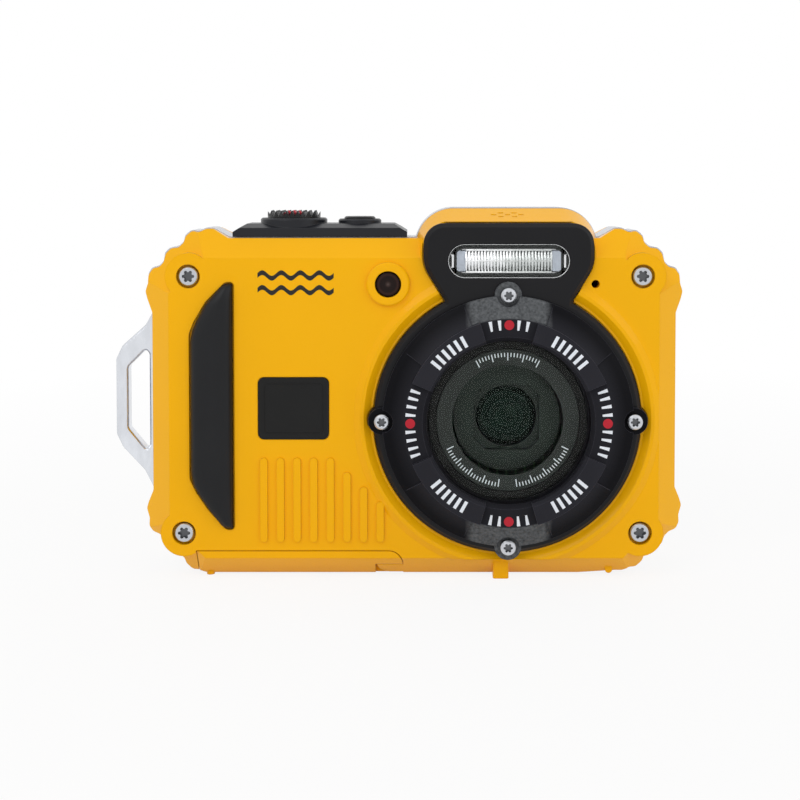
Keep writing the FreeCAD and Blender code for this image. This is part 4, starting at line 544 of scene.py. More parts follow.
def coated_lens(name, centre, radius):
    """Dark lens glass with faint green rings round its axis, painted as reflections, and a painted highlight
    in its middle.
    """
    material, nodes, links, shader = fresh_shader(name)
    point = own_point(nodes, links, centre)
    # Painted reflections: lighter rings round the axis and a lighter middle
    away = axis_distance(nodes, links, point, 1.0 / radius)
    links.new(banded(nodes, links, away, LENS_GLINT_RINGS), shader.inputs["Base Color"])
    cloud = noise(nodes, links, point, 4.0 * MM)
    links.new(between(nodes, links, cloud, 0.22, 0.30), shader.inputs["Roughness"])
    shader.inputs["Specular IOR Level"].default_value = 0.12
    shader.inputs["Specular Tint"].default_value = (0.65, 1.0, 0.82, 1.0)
    return material


def lamp_red(name, centre, radius):
    """Dark red lamp window with a painted highlight at its heart."""
    material, nodes, links, shader = fresh_shader(name)
    point = own_point(nodes, links, centre)
    away = axis_distance(nodes, links, point, 1.0 / radius)
    # Painted highlight at the heart, with a lighter ring near the edge
    links.new(banded(nodes, links, away, LAMP_RINGS), shader.inputs["Base Color"])
    cloud = noise(nodes, links, point, 1.5 * MM)
    links.new(between(nodes, links, cloud, 0.05, 0.1), shader.inputs["Roughness"])
    relief(nodes, links, shader, cloud, 0.05 * MM, 0.3 * MM)
    shader.inputs["Specular IOR Level"].default_value = 0.15
    return material


def edge_mask(nodes, links, radius):
    """One along the rims of a shape and nought on its faces."""
    soft = nodes.new("ShaderNodeBevel")
    soft.samples = 6
    soft.inputs["Radius"].default_value = radius
    flat = nodes.new("ShaderNodeNewGeometry").outputs["Normal"]
    alike = nodes.new("ShaderNodeVectorMath")
    alike.operation = "DOT_PRODUCT"
    links.new(soft.outputs["Normal"], alike.inputs[0])
    links.new(flat, alike.inputs[1])
    return between(nodes, links, alike.outputs["Value"], 1.0, 0.0, 0.85, 0.995)


def ring_finish(name, rgb, roughness, centre, front):
    """Satin black of the trim ring, coarser above and below the lens, with painted shade in its low parts
    and painted highlights on its rims.
    """
    material, nodes, links, shader = fresh_shader(name)
    point = own_point(nodes, links, centre)
    away = axis_distance(nodes, links, point)
    across = along_axes(nodes, links, point)
    side = computed(nodes, links, "ABSOLUTE", across["X"])
    ring = looks().ring
    inside = between(nodes, links, side, 1.0, 0.0, ring.coarse_side, ring.coarse_side + 1.5 * MM)
    outside = between(nodes, links, away, 0.0, 1.0, ring.coarse_radius, ring.coarse_radius + 0.3 * MM)
    coarse_area = computed(nodes, links, "MULTIPLY", inside, outside)
    fine = noise(nodes, links, point, 0.25 * MM, 3.0)
    coarse = noise(nodes, links, point, 0.55 * MM, 2.0)
    strong = computed(nodes, links, "MULTIPLY", coarse, coarse_area)
    weak = computed(nodes, links, "MULTIPLY", fine, 0.08)
    height = computed(nodes, links, "ADD", strong, weak)
    slow = between(nodes, links, noise(nodes, links, point, 11 * MM), 0.0, 1.0)
    # Painted shade and light: parts deeper than the blocks' faces are darker, the raised faces lighter
    deep = between(nodes, links, across["Y"], 0.0, 1.0, front + 0.1 * MM, front + 2.4 * MM)
    lit_high_tint = blended(nodes, links, slow, shaded(rgb, 1.25), shaded(rgb, 1.45))
    smooth_tint = blended(nodes, links, deep, lit_high_tint, shaded(rgb, 0.4))
    coarse_tint = blended(nodes, links, coarse, (0.02, 0.021, 0.023), (0.19, 0.20, 0.21))
    face_tint = blended(nodes, links, coarse_area, smooth_tint, coarse_tint)
    # Painted highlight: the rims of the blocks are made lighter
    rim = edge_mask(nodes, links, 0.16 * MM)
    tint = blended(nodes, links, rim, face_tint, shaded(rgb, 3.5))
    links.new(tint, shader.inputs["Base Color"])
    links.new(between(nodes, links, fine, roughness * 0.85, roughness * 1.15), shader.inputs["Roughness"])
    relief(nodes, links, shader, height, 0.2 * MM, 0.12 * MM)
    shader.inputs["Specular IOR Level"].default_value = 0.03
    return material


def ribbed_silver(name, left, right):
    """Bright flash reflector with painted shade that darkens it from its left to its right."""
    material, nodes, links, shader = fresh_shader(name)
    point = own_point(nodes, links)
    # Painted shade: the colour darkens across the reflector from left to right
    along = between(nodes, links, along_axes(nodes, links, point)["X"], 0.0, 1.0, left, right)
    patches = noise(nodes, links, stretched(nodes, links, point, (1.0, 1.0, 0.35)), 0.9 * MM, 3.0)
    mixed = computed(nodes, links, "ADD", along, between(nodes, links, patches, -0.25, 0.25))
    links.new(banded(nodes, links, mixed, SILVER_SHADE_BANDS), shader.inputs["Base Color"])
    links.new(between(nodes, links, patches, 0.12, 0.3), shader.inputs["Roughness"])
    shader.inputs["Metallic"].default_value = 0.9
    return material


def circuit(name):
    """Green circuit board with lines of copper under the lacquer."""
    material, nodes, links, shader = fresh_shader(name)
    point = own_point(nodes, links)
    bricks = nodes.new("ShaderNodeTexBrick")
    bricks.inputs["Scale"].default_value = 260.0
    bricks.inputs["Mortar Size"].default_value = 0.05
    bricks.inputs["Color1"].default_value = (0.010, 0.075, 0.035, 1)
    bricks.inputs["Color2"].default_value = (0.008, 0.060, 0.030, 1)
    bricks.inputs["Mortar"].default_value = (0.035, 0.16, 0.06, 1)
    links.new(stretched(nodes, links, point, (1.0, 0.2, 1.0)), bricks.inputs["Vector"])
    links.new(bricks.outputs["Color"], shader.inputs["Base Color"])
    fine = noise(nodes, links, point, 0.5 * MM)
    links.new(between(nodes, links, fine, 0.3, 0.45), shader.inputs["Roughness"])
    relief(nodes, links, shader, fine, 0.01 * MM, 0.0)
    return material


def screen(name, dark, light):
    """Switched off display with a faint sheen of its pixels."""
    material, nodes, links, shader = fresh_shader(name)
    point = own_point(nodes, links)
    rows = nodes.new("ShaderNodeTexWave")
    rows.bands_direction = "Z"
    rows.inputs["Scale"].default_value = 900.0
    links.new(point, rows.inputs["Vector"])
    cloud = between(nodes, links, noise(nodes, links, point, 30 * MM), 0.0, 1.0)
    mixed = computed(nodes, links, "ADD", cloud, computed(nodes, links, "MULTIPLY", rows.outputs[1], 0.03))
    links.new(blended(nodes, links, mixed, dark, light), shader.inputs["Base Color"])
    links.new(between(nodes, links, cloud, 0.16, 0.24), shader.inputs["Roughness"])
    return material


def give(node_names, material):
    """Put a material on CAD nodes."""
    for name in node_names:
        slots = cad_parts[name].data.materials
        slots.clear()
        slots.append(material)


# Meshes


def middle(node):
    """Middle of a CAD node's box."""
    low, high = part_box(node)
    return (low + high) / 2


def lens_axis(y):
    """Point of the lens axis at a depth."""
    ring = middle("lens_trim_ring")
    return Vector((ring.x, y, ring.z))


def around_lens(angle, radius, y):
    """Point at an angle and a distance round the lens axis, at a depth."""
    return lens_axis(y) + radius * Vector((math.cos(angle), 0.0, math.sin(angle)))


def panel_face():
    """Depth of the yellow front panel, just behind the badge's face."""
    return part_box("badge_plate")[0].y + BADGE_PROUD


def drop_loose(bm):
    """Remove the points that no face uses."""
    loose = [v for v in bm.verts if not v.link_faces]
    bmesh.ops.delete(bm, geom=loose, context="VERTS")


def stand_up(bm, old, thick, place, edge=0.0):
    """Give the new flat face a thickness and a softened rim, and put it in place."""
    drop_loose(bm)
    faces = [f for f in bm.faces if f not in old]
    raised = bmesh.ops.extrude_face_region(bm, geom=faces)["geom"]
    top = [e for e in raised if isinstance(e, bmesh.types.BMVert)]
    bmesh.ops.translate(bm, vec=(0.0, 0.0, thick), verts=top)
    if edge > 0:
        rim = [e for e in raised if isinstance(e, bmesh.types.BMEdge) and all(v in top for v in e.verts)]
        top_faces = [f for f in raised if isinstance(f, bmesh.types.BMFace)]
        rim = [e for e in rim if sum(f in top_faces for f in e.link_faces) == 1]
        bmesh.ops.bevel(
            bm, geom=rim, offset=edge, offset_type="OFFSET", segments=2, profile=0.5, affect="EDGES",
            material=-1, clamp_overlap=True)
    whole = {v for f in bm.faces if f not in old for v in f.verts}
    bmesh.ops.transform(bm, matrix=place, verts=list(whole))


def add_bar(bm, place, size, width, thick, edge=0.0, outer=None):
    """Flat bar along the local Y, whose far end may have a width of its own."""
    old = set(bm.faces)
    verts = bmesh.ops.create_grid(bm, x_segments=1, y_segments=1, size=0.5)["verts"]
    bmesh.ops.scale(bm, vec=(width, size, 1.0), verts=verts)
    if outer is not None:
        far = [v for v in verts if v.co.y > 0]
        bmesh.ops.scale(bm, vec=(outer / width, 1.0, 1.0), verts=far)
    stand_up(bm, old, thick, place, edge)


def add_mark(bm, angle, radius, y, size, width, thick, outer=None):
    """Bar along a radius of the lens."""
    add_bar(bm, at(around_lens(angle, radius, y), angle - math.pi / 2), size, width, thick, outer=outer)


def add_disc(bm, place, radius, thick, segments=32):
    """Flat round plate, or with three segments a triangle that points along the local X."""
    old = set(bm.faces)
    quarter_turn = Matrix.Rotation(-math.pi / 2, 4, "Z")
    bmesh.ops.create_circle(bm, cap_ends=True, radius=radius, segments=segments, matrix=quarter_turn)
    stand_up(bm, old, thick, place)


def hollow_out(bm, old, border):
    """Leave a border of the new flat face."""
    face = [f for f in bm.faces if f not in old]
    bmesh.ops.inset_region(bm, faces=face, thickness=border, use_boundary=True, use_even_offset=True)
    bmesh.ops.delete(bm, geom=face, context="FACES_ONLY")


def add_hoop(bm, place, radius, width, thick, segments=48, stretch=0.0):
    """Flat ring, drawn out to a stadium by the stretch."""
    old = set(bm.faces)
    half_step = Matrix.Rotation(math.pi / segments, 4, "Z")
    rim = bmesh.ops.create_circle(
        bm, cap_ends=True, radius=radius, segments=segments, matrix=half_step)["verts"]
    for v in rim:
        v.co.x += math.copysign(stretch, v.co.x)
    hollow_out(bm, old, width)
    stand_up(bm, old, thick, place)


def add_border(bm, place, width, height, corner, border, thick):
    """Flat rectangular frame with bevelled corners."""
    old = set(bm.faces)
    verts = bmesh.ops.create_grid(bm, x_segments=1, y_segments=1, size=0.5)["verts"]
    bmesh.ops.scale(bm, vec=(width, height, 1.0), verts=verts)
    bmesh.ops.bevel(
        bm, geom=verts, offset=corner, offset_type="OFFSET", segments=4, profile=0.5, affect="VERTICES",
        material=-1)
    hollow_out(bm, old, border)
    stand_up(bm, old, thick, place)


def add_wave(bm, place, size, wave, height, line, thick):
    """Flat wavy line along the local X."""
    old = set(bm.faces)
    verts = bmesh.ops.create_grid(bm, x_segments=60, y_segments=1, size=0.5)["verts"]
    bmesh.ops.scale(bm, vec=(size, line, 1.0), verts=verts)
    for v in verts:
        v.co.y += height * math.sin(2 * math.pi * (v.co.x + size / 2) / wave)
    stand_up(bm, old, thick, place)


def finished(name, bm, material, body, smooth=False):
    """Piece made from a bmesh, riding on a body."""
    drop_loose(bm)
    bmesh.ops.recalc_face_normals(bm, faces=bm.faces)
    mesh = bpy.data.meshes.new(name)
    bm.to_mesh(mesh)
    bm.free()
    if smooth:
        mesh.shade_smooth()
    mesh.materials.append(material)
    piece = bpy.data.objects.new(name, mesh)
    bpy.context.scene.collection.objects.link(piece)
    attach(piece, body)
    return piece


def at(point, turn=0.0, facing=TO_FRONT):
    """Place on a surface, turned in its plane."""
    return Matrix.Translation(point) @ facing @ Matrix.Rotation(turn, 4, "Z")


def marking_paint():
    """White printed paint."""
    known = bpy.data.materials.get("white_print" + LOOK)
    return known or printed("white_print", looks().finish.marking, 0.5, 0.03)


# Operators


class LooksOperator(Operator):
    """One step of the camera's looks."""

    bl_options = {"REGISTER", "UNDO"}


class CAMERA_OT_cover_finish(LooksOperator):
    """Paint the yellow covers and the battery door"""

    bl_idname = "camera_looks.cover_finish"
    bl_label = "Cover Finish"

    def execute(self, context):
        finish = looks().finish
        paint = moulded(
            "yellow_paint", finish.yellow, finish.yellow_gloss, grain=0.32, depth=0.006, spread=0.015,
            blotch=20.0, edge=0.28, specular=0.05)
        shader = paint.node_tree.nodes["Principled BSDF"]
        shader.inputs["Coat Weight"].default_value = 0.7
        shader.inputs["Coat IOR"].default_value = 1.2
        shader.inputs["Coat Roughness"].default_value = 0.03
        give(["front_cover", "rear_cover", "battery_door"], paint)
        return {"FINISHED"}


class CAMERA_OT_metal_finish(LooksOperator):
    """Finish the middle frame, the strap loop, the screws and the small metal parts"""

    bl_idname = "camera_looks.metal_finish"
    bl_label = "Metal Finish"

    def execute(self, context):
        finish = looks().finish
        silver = moulded(
            "silver_paint", finish.silver, 0.26, grain=0.2, depth=0.004, blotch=10.0, metallic=0.75,
            specular=0.5)
        give(["mid_frame"], silver)
        polished = brushed(
            "polished_steel", shaded(finish.steel, 1.1), 0.16, along=(1.0, 1.0, 0.3), line=0.2, depth=0.002,
            edge=0.3)
        give(["strap_lug"], polished)
        for node, gloss in (("case_screws", 0.82), ("ring_screws", 0.9)):
            steel = screw_steel(node + "_steel", shaded(finish.steel, gloss), 0.3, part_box(node)[0].y)
            give([node], steel)
        ground = brushed("ground_steel", finish.steel, 0.22, along=(0.1, 1.0, 1.0))
        give(["door_hinge_pin", "lens_guide_rods", "shutter_spring"], ground)
        brass = brushed("brass", (0.66, 0.42, 0.14), 0.28, along=(1.0, 1.0, 0.1))
        give(["screw_inserts", "tripod_insert"], brass)
        sheet = brushed("stamped_sheet", (0.6, 0.61, 0.62), 0.3, along=(0.1, 1.0, 1.0))
        give(["card_slot", "usb_socket"], sheet)
        can = brushed("motor_can", (0.55, 0.55, 0.56), 0.3, along=(1.0, 1.0, 0.1))
        give(["zoom_motor"], can)
        return {"FINISHED"}


class CAMERA_OT_black_finish(LooksOperator):
    """Finish the black plastic of the lens surround, the top plate, the buttons and the inside"""

    bl_idname = "camera_looks.black_finish"
    bl_label = "Black Finish"

    def execute(self, context):
        finish = looks().finish
        satin = moulded(
            "satin_black", finish.black, finish.black_gloss, grain=0.28, depth=0.012, spread=0.08,
            blotch=9.0, edge=0.25)
        give(["lens_bezel"], satin)
        ring_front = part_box("lens_trim_ring")[0].y
        ring = ring_finish("ring_black", shaded(finish.black, 3.0), 0.3, lens_axis(0), ring_front)
        give(["lens_trim_ring"], ring)
        plate = moulded(
            "plate_black", (0.008, 0.009, 0.013), 0.32, grain=0.25, spread=0.08, blotch=9.0, edge=0.3,
            specular=0.3)
        give(["top_plate"], plate)
        button = moulded(
            "button_black", (0.006, 0.006, 0.007), 0.28, grain=0.2, depth=0.006, spread=0.08, blotch=5.0,
            edge=0.12, specular=0.3)
        give(["shutter_button", "power_button"], button)
        badge = moulded(
            "badge_black", (0.008, 0.008, 0.008), 0.36, grain=0.45, depth=0.012, spread=0.08, blotch=6.0)
        give(["badge_plate"], badge)
        mask = moulded(
            "mask_black", (0.016, 0.020, 0.018), 0.5, grain=0.2, depth=0.0005, spread=0.08, blotch=4.0,
            edge=0.0, specular=0.36)
        give(["window_mask"], mask)
        housing = moulded(
            "housing_black", (0.016, 0.024, 0.019), 0.5, depth=0.002, spread=0.08, blotch=6.0, edge=0.15,
            specular=0.22)
        give(["lens_housing"], housing)
        inner = moulded(
            "inner_black", (0.012, 0.012, 0.013), 0.5, depth=0.01, spread=0.1, blotch=6.0, edge=0.1)
        give(["zoom_carriage", "focus_carriage", "battery_holder"], inner)
        return {"FINISHED"}


class CAMERA_OT_rubber_finish(LooksOperator):
    """Finish the seals, the grip pad and the red insert"""

    bl_idname = "camera_looks.rubber_finish"
    bl_label = "Rubber Finish"

    def execute(self, context):
        finish = looks().finish
        seal = moulded(
            "seal_rubber", (0.010, 0.010, 0.010), 0.62, grain=0.25, depth=0.01, spread=0.12, blotch=5.0,
            edge=0.1)
        give(["cover_gaskets", "window_seal", "shutter_seal", "door_gasket"], seal)
        grip = moulded(
            "grip_rubber", finish.rubber, 0.38, grain=0.4, depth=0.012, spread=0.08, blotch=7.0, edge=0.4,
            specular=0.22)
        give(["grip_pad"], grip)
        insert = moulded("red_insert", finish.red, 0.32, grain=0.25, blotch=3.0, edge=0.1)
        give(["shutter_accent"], insert)
        return {"FINISHED"}


class CAMERA_OT_glass_finish(LooksOperator):
    """Finish the windows, the lenses, the flash and the display"""

    bl_idname = "camera_looks.glass_finish"
    bl_label = "Glass Finish"

    def execute(self, context):
        low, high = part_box("lens_front_element")
        lens_glints = coated_lens("coated_lens", middle("lens_front_element") * NO_DEPTH, (high.x - low.x) / 2)
        give(["lens_window"], glass("window_glass", (0.95, 0.98, 0.96), ior=1.12))
        give(["lens_front_element"], lens_glints)
        optical = glass("optical_glass", (0.97, 0.99, 0.98), ior=1.6)
        give(["zoom_group_lens", "focus_group_lens", "lens_prism"], optical)
        give(["flash_window"], glass("flash_glass", (0.98, 0.985, 0.99), ior=1.2))
        give(["flash_tube"], glass("tube_glass", (0.95, 0.97, 0.98), ior=1.45))
        reflector = brushed(
            "polished_reflector", (0.80, 0.81, 0.82), 0.1, along=(0.2, 1.0, 1.0), line=0.2, depth=0.002,
            edge=0.1)
        give(["flash_reflector"], reflector)
        give(["af_lamp_window"], lamp_red("lamp_red", middle("af_lamp_window") * NO_DEPTH, 2.5 * MM))
        lamp = moulded(
            "lamp_plastic", (0.75, 0.74, 0.70), 0.25, grain=0.4, depth=0.004, spread=0.04, blotch=2.0,
            edge=0.1)
        give(["af_lamp_led"], lamp)
        give(["display_window"], glass("display_glass", (0.9, 0.92, 0.93), ior=1.3))
        give(["display_panel"], screen("display_dark", (0.005, 0.006, 0.008), (0.008, 0.009, 0.012)))
        return {"FINISHED"}


class CAMERA_OT_inner_finish(LooksOperator):
    """Finish the circuit boards, the battery, the card and the other inner parts"""

    bl_idname = "camera_looks.inner_finish"
    bl_label = "Inner Finish"

    def execute(self, context):
        give(["main_board", "key_board", "top_switch_board"], circuit("circuit_board"))
        wrap = moulded(
            "battery_wrap", (0.05, 0.09, 0.16), 0.4, grain=0.4, depth=0.01, spread=0.08, blotch=12.0,
            edge=0.3)
        give(["battery"], wrap)
        card = moulded("card_plastic", (0.03, 0.032, 0.04), 0.45, spread=0.08, blotch=8.0, edge=0.15)
        give(["memory_card"], card)
        sensor = moulded(
            "sensor_ceramic", (0.10, 0.09, 0.12), 0.3, depth=0.004, spread=0.08, blotch=3.0, edge=0.1)
        give(["image_sensor"], sensor)
        sleeve = moulded(
            "capacitor_sleeve", (0.02, 0.022, 0.05), 0.35, depth=0.006, spread=0.08, blotch=9.0, edge=0.3)
        give(["flash_capacitor"], sleeve)
        latch = moulded("latch_grey", (0.16, 0.165, 0.17), 0.42, depth=0.01, spread=0.06, blotch=5.0)
        give(["door_latch"], latch)
        return {"FINISHED"}


class CAMERA_OT_key_finish(LooksOperator):
    """Finish the keys on the back"""

    bl_idname = "camera_looks.key_finish"
    bl_label = "Key Finish"

    def execute(self, context):
        finish = looks().finish
        grey = moulded("key_grey", finish.key, 0.36, grain=0.25, spread=0.06, blotch=6.0, edge=0.25)
        give(
            ["tele_button", "wide_button", "nav_pad", "ok_button", "menu_button", "play_button",
             "delete_button"],
            grey)
        red = moulded(
            "key_red", shaded(finish.red, 0.9), 0.34, grain=0.25, depth=0.006, blotch=4.0, edge=0.25)
        give(["record_button"], red)
        return {"FINISHED"}


class CAMERA_OT_ring_marks(LooksOperator):
    """Print the white marks and red dots on the trim ring"""

    bl_idname = "camera_looks.ring_marks"
    bl_label = "Ring Marks"

    def execute(self, context):
        ring = looks().ring
        high_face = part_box("lens_trim_ring")[0].y
        self.block_marks(ring, high_face + ring.paint)
        self.side_marks(ring, high_face + ring.low_step + ring.paint)
        return {"FINISHED"}

    def block_marks(self, ring, y):
        """White marks on the four raised blocks."""
        bm = bmesh.new()
        for quarter in range(4):
            for index in range(ring.marks_per_block):
                angle = ring.first_angle + index * ring.angle_step
                if quarter % 2:
                    angle = math.pi / 2 - angle
                add_mark(
                    bm, angle + quarter * math.pi / 2, ring.radius, y, ring.mark_length, ring.mark_width,
                    2 * ring.paint)
        finished("block_marks", bm, marking_paint(), "camera")

    def side_marks(self, ring, y):
        """Four red dots between the blocks, with white marks to both sides of each."""
        marks = bmesh.new()
        dots = bmesh.new()
        for quarter in range(4):
            angle = quarter * math.pi / 2
            for offset in UPRIGHT_MARKS if quarter % 2 else LEVEL_MARKS:
                for sign in (1, -1):
                    add_mark(
                        marks, angle + sign * math.radians(offset), ring.side_radius, y, ring.side_length,
                        ring.side_inner, 2 * ring.paint, outer=ring.side_outer)
            add_disc(dots, at(around_lens(angle, ring.side_radius, y)), ring.dot_radius, 2 * ring.paint)
        finished("side_marks", marks, marking_paint(), "camera")
        red = printed("red_print", looks().finish.red, 0.45, 0.04)
        finished("ring_dots", dots, red, "camera")


class CAMERA_OT_glass_marks(LooksOperator):
    """Print a fine plain scale behind the lens window, and line the opening behind it in black"""

    bl_idname = "camera_looks.glass_marks"
    bl_label = "Glass Marks"

    def execute(self, context):
        window = looks().window
        front, back = (corner.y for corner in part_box("window_mask"))
        self.scale(window, front + window.scale_sunk)
        edge = bmesh.new()
        place = at(lens_axis(back + window.edge_thick - LAP))
        add_hoop(edge, place, window.edge_radius, window.edge_width, window.edge_thick, segments=96)
        finished("mask_edge", edge, made("mask_black"), "camera")
        seat = panel_face() + window.seat_depth
        liner = bmesh.new()
        place = at(lens_axis(seat + LAP))
        add_hoop(liner, place, window.seat_radius, window.seat_width, window.seat_thick, segments=96)
        place = at(lens_axis(seat + window.liner_depth + window.liner_reach))
        depth = window.liner_depth + LAP
        add_hoop(liner, place, window.liner_radius, window.liner_wall, depth, segments=96)
        finished("light_liner", liner, made("mask_black"), "camera")
        return {"FINISHED"}

    def scale(self, window, y):
        """Three arcs of fine marks, every fifth one longer."""
        bm = bmesh.new()
        for start in SCALE_STARTS:
            for index in range(window.mark_steps + 1):
                angle = math.radians(start) + index * window.angle_step
                size = window.short_mark if index % 5 else window.long_mark
                radius = window.scale_radius - size / 2
                add_mark(bm, angle, radius, y, size, window.mark_width, window.scale_height)
        finished("window_scale", bm, marking_paint(), "camera")


class CAMERA_OT_water_mark(LooksOperator):
    """Print two plain wavy lines in the place of the front's lettering"""

    bl_idname = "camera_looks.water_mark"
    bl_label = "Water Mark"

    def execute(self, context):
        front = looks().front
        lens = lens_axis(panel_face() + PRINT_SUNK)
        bm = bmesh.new()
        for row in range(2):
            rise = front.wave_rise - row * front.wave_drop
            place = at(lens + Vector((-front.wave_left, 0.0, rise)))
            add_wave(
                bm, place, front.wave_run, front.wave_length, front.wave_height, front.wave_line,
                PRINT_HIGH)
        dark = printed("dark_print", (0.012, 0.011, 0.010), 0.45, 0.06)
        finished("water_mark", bm, dark, "camera")
        return {"FINISHED"}


class CAMERA_OT_badge_rim(LooksOperator):
    """Add a fine raised line round the plain badge"""

    bl_idname = "camera_looks.badge_rim"
    bl_label = "Badge Rim"

    def execute(self, context):
        front = looks().front
        low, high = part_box("badge_plate")
        place = middle("badge_plate")
        place.y = low.y + front.badge_sunk
        width = high.x - low.x - 2 * front.badge_inset
        height = high.z - low.z - 2 * front.badge_inset
        bm = bmesh.new()
        add_border(
            bm, at(place), width, height, front.badge_corner, front.badge_line, front.badge_raised)
        finished("badge_rim", bm, made("badge_black"), "camera")
        return {"FINISHED"}


class CAMERA_OT_grip_crown(LooksOperator):
    """Make the crowned rubber grip in place of the plain pad"""

    bl_idname = "camera_looks.grip_crown"
    bl_label = "Grip Crown"

    def execute(self, context):
        front = looks().front
        low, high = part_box("grip_pad")
        width = high.x - low.x
        height = high.z - low.z
        bm = bmesh.new()
        verts = bmesh.ops.create_grid(bm, x_segments=18, y_segments=72, size=0.5)["verts"]
        for v in verts:
            up = v.co.y + 0.5
            left = self.left_side(up) * width
            across = (v.co.x + 0.5) * (width - left)
            to_side = min(across, width - left - across)
            to_end = min(up, 1 - up) * height
            rise = self.dome(to_side, front.grip_round) * self.dome(to_end, front.grip_round)
            v.co = (left + across, up * height, front.grip_side + rise * front.grip_crown)
        rim = [e for e in bm.edges if e.is_boundary]
        foot = bmesh.ops.extrude_edge_only(bm, edges=rim)["geom"]
        foot_verts = [e for e in foot if isinstance(e, bmesh.types.BMVert)]
        bmesh.ops.scale(bm, vec=(1.0, 1.0, 0.0), verts=foot_verts)
        bmesh.ops.holes_fill(bm, edges=[e for e in bm.edges if e.is_boundary], sides=0)
        bmesh.ops.transform(bm, matrix=at(Vector((low.x, high.y, low.z))), verts=bm.verts)
        grip = finished("grip_crown", bm, made("grip_rubber"), "camera", smooth=True)
        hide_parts("grip_pad")
        return {"FINISHED"}

    def left_side(self, up):
        """Share of the width where the pad starts on its left, at a share of its height."""
        for (low, first), (high, second) in zip(GRIP_LEFT, GRIP_LEFT[1:]):
            if up <= high:
                return first + (second - first) * (up - low) / (high - low)
        return GRIP_LEFT[-1][1]

    def dome(self, away, reach):
        """Rounded rise from nought at the edge to one at the reach."""
        part = min(away / reach, 1.0)
        return math.sqrt(max(0.0, 1 - (1 - part) ** 2))


class CAMERA_OT_shutter_teeth(LooksOperator):
    """Add the small red teeth on the shutter's insert"""

    bl_idname = "camera_looks.shutter_teeth"
    bl_label = "Shutter Teeth"

    def execute(self, context):
        front = looks().front
        low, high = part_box("shutter_accent")
        centre = middle("shutter_accent")
        pitch = front.tooth_pitch
        tall = front.tooth_height + 2 * LAP
        reach = (high.x - low.x) / 2
        count = int(reach / pitch)
        diagonal = Matrix.Rotation(math.pi / 4, 4, "Z")
        bm = bmesh.new()
        for across in range(-count, count + 1):
            for deep in range(-count, count + 1):
                if math.hypot(across, deep) * pitch > reach - pitch / 2:
                    continue
                place = Vector((centre.x + across * pitch, centre.y + deep * pitch, high.z))
                place.z += front.tooth_height / 2
                bmesh.ops.create_cone(
                    bm, cap_ends=True, segments=4, radius1=front.tooth_foot * pitch,
                    radius2=front.tooth_tip * pitch, depth=tall, matrix=Matrix.Translation(place) @ diagonal)
        finished("shutter_teeth", bm, made("red_insert"), "shutter")
        return {"FINISHED"}


class CAMERA_OT_flash_insert(LooksOperator):
    """Add the ribs, the end plates and the bright rim behind the flash window, and two bright plates at its
    ends; the rim and these plates stand in as painted highlights on the glass
    """

    bl_idname = "camera_looks.flash_insert"
    bl_label = "Flash Insert"

    def execute(self, context):
        flash = looks().flash
        low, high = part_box("flash_window")
        seat = middle("flash_window")
        seat.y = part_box("flash_reflector")[0].y
        self.ribs(flash, seat)
        plates = bmesh.new()
        for side in (1, -1):
            place = at(seat + Vector((side * flash.plate_place, -LAP, 0.0)))
            add_bar(
                plates, place, flash.plate_height, flash.plate_width, flash.plate_thick, flash.plate_edge)
        pale = moulded("pale_plate", (0.52, 0.57, 0.64), 0.3, depth=0.004, blotch=2.0, edge=0.05)
        finished("flash_end_plates", plates, pale, "camera")
        # Painted glints: bright plates at the window's rounded ends
        pane = Vector((seat.x, high.y, seat.z))
        glints = bmesh.new()
        for side in (1, -1):
            place = at(pane + Vector((side * flash.glint_place, -flash.glint_depth, 0.0)))
            add_bar(glints, place, flash.glint_height, flash.glint_width, flash.glint_thick, flash.glint_edge)
        finished("flash_glints", glints, made("polished_reflector"), "camera")
        self.edges(flash, pane, (high.z - low.z) / 2, (high.x - low.x) / 2)
        return {"FINISHED"}

    def ribs(self, flash, seat):
        """Upright ribs with three level strips across them."""
        bm = bmesh.new()
        count = int(2 * flash.half_width / flash.rib_pitch)
        for index in range(count + 1):
            place = seat + Vector(((index - count / 2) * flash.rib_pitch, flash.rib_depth, 0.0))
            bmesh.ops.create_cone(
                bm, cap_ends=True, segments=12, radius1=flash.rib_radius, radius2=flash.rib_radius,
                depth=2 * flash.half_height, matrix=Matrix.Translation(place))
        for side in (-1, 0, 1):
            rise = side * (flash.half_height - flash.strip_inset)
            place = at(seat + Vector((0.0, 0.0, rise)), math.pi / 2)
            width = flash.outer_strip if side else flash.middle_strip
            add_bar(bm, place, 2 * flash.half_width, width, flash.strip_thick, flash.strip_edge)
        silver = ribbed_silver("ribbed_silver", seat.x - flash.half_width, seat.x + flash.half_width)
        finished("flash_ribs", bm, silver, "camera", smooth=True)

    def edges(self, flash, pane, radius, reach):
        """Black border along the window's edge, inside it, and a bright rim there that stands in as a
        painted highlight of that edge.
        """
        straight = reach - radius
        place = pane + Vector((0.0, -flash.mask_depth, 0.0))
        mask = bmesh.new()
        add_hoop(mask, at(place), radius, flash.mask_border, flash.mask_thick, stretch=straight)
        for side in (1, -1):
            bar = at(place + Vector((side * flash.bar_place, 0.0, 0.0)))
            add_bar(mask, bar, flash.bar_height, flash.bar_width, flash.mask_thick)
        finished("flash_mask", mask, made("mask_black"), "camera")
        # Painted highlight: a bright rim just inside the window's edge
        place = pane + Vector((0.0, -flash.rim_depth, 0.0))
        rim = bmesh.new()
        add_hoop(
            rim, at(place), radius - flash.rim_inset, flash.rim_width, flash.rim_thick, stretch=straight)
        finished("flash_highlight_rim", rim, made("polished_reflector"), "camera")


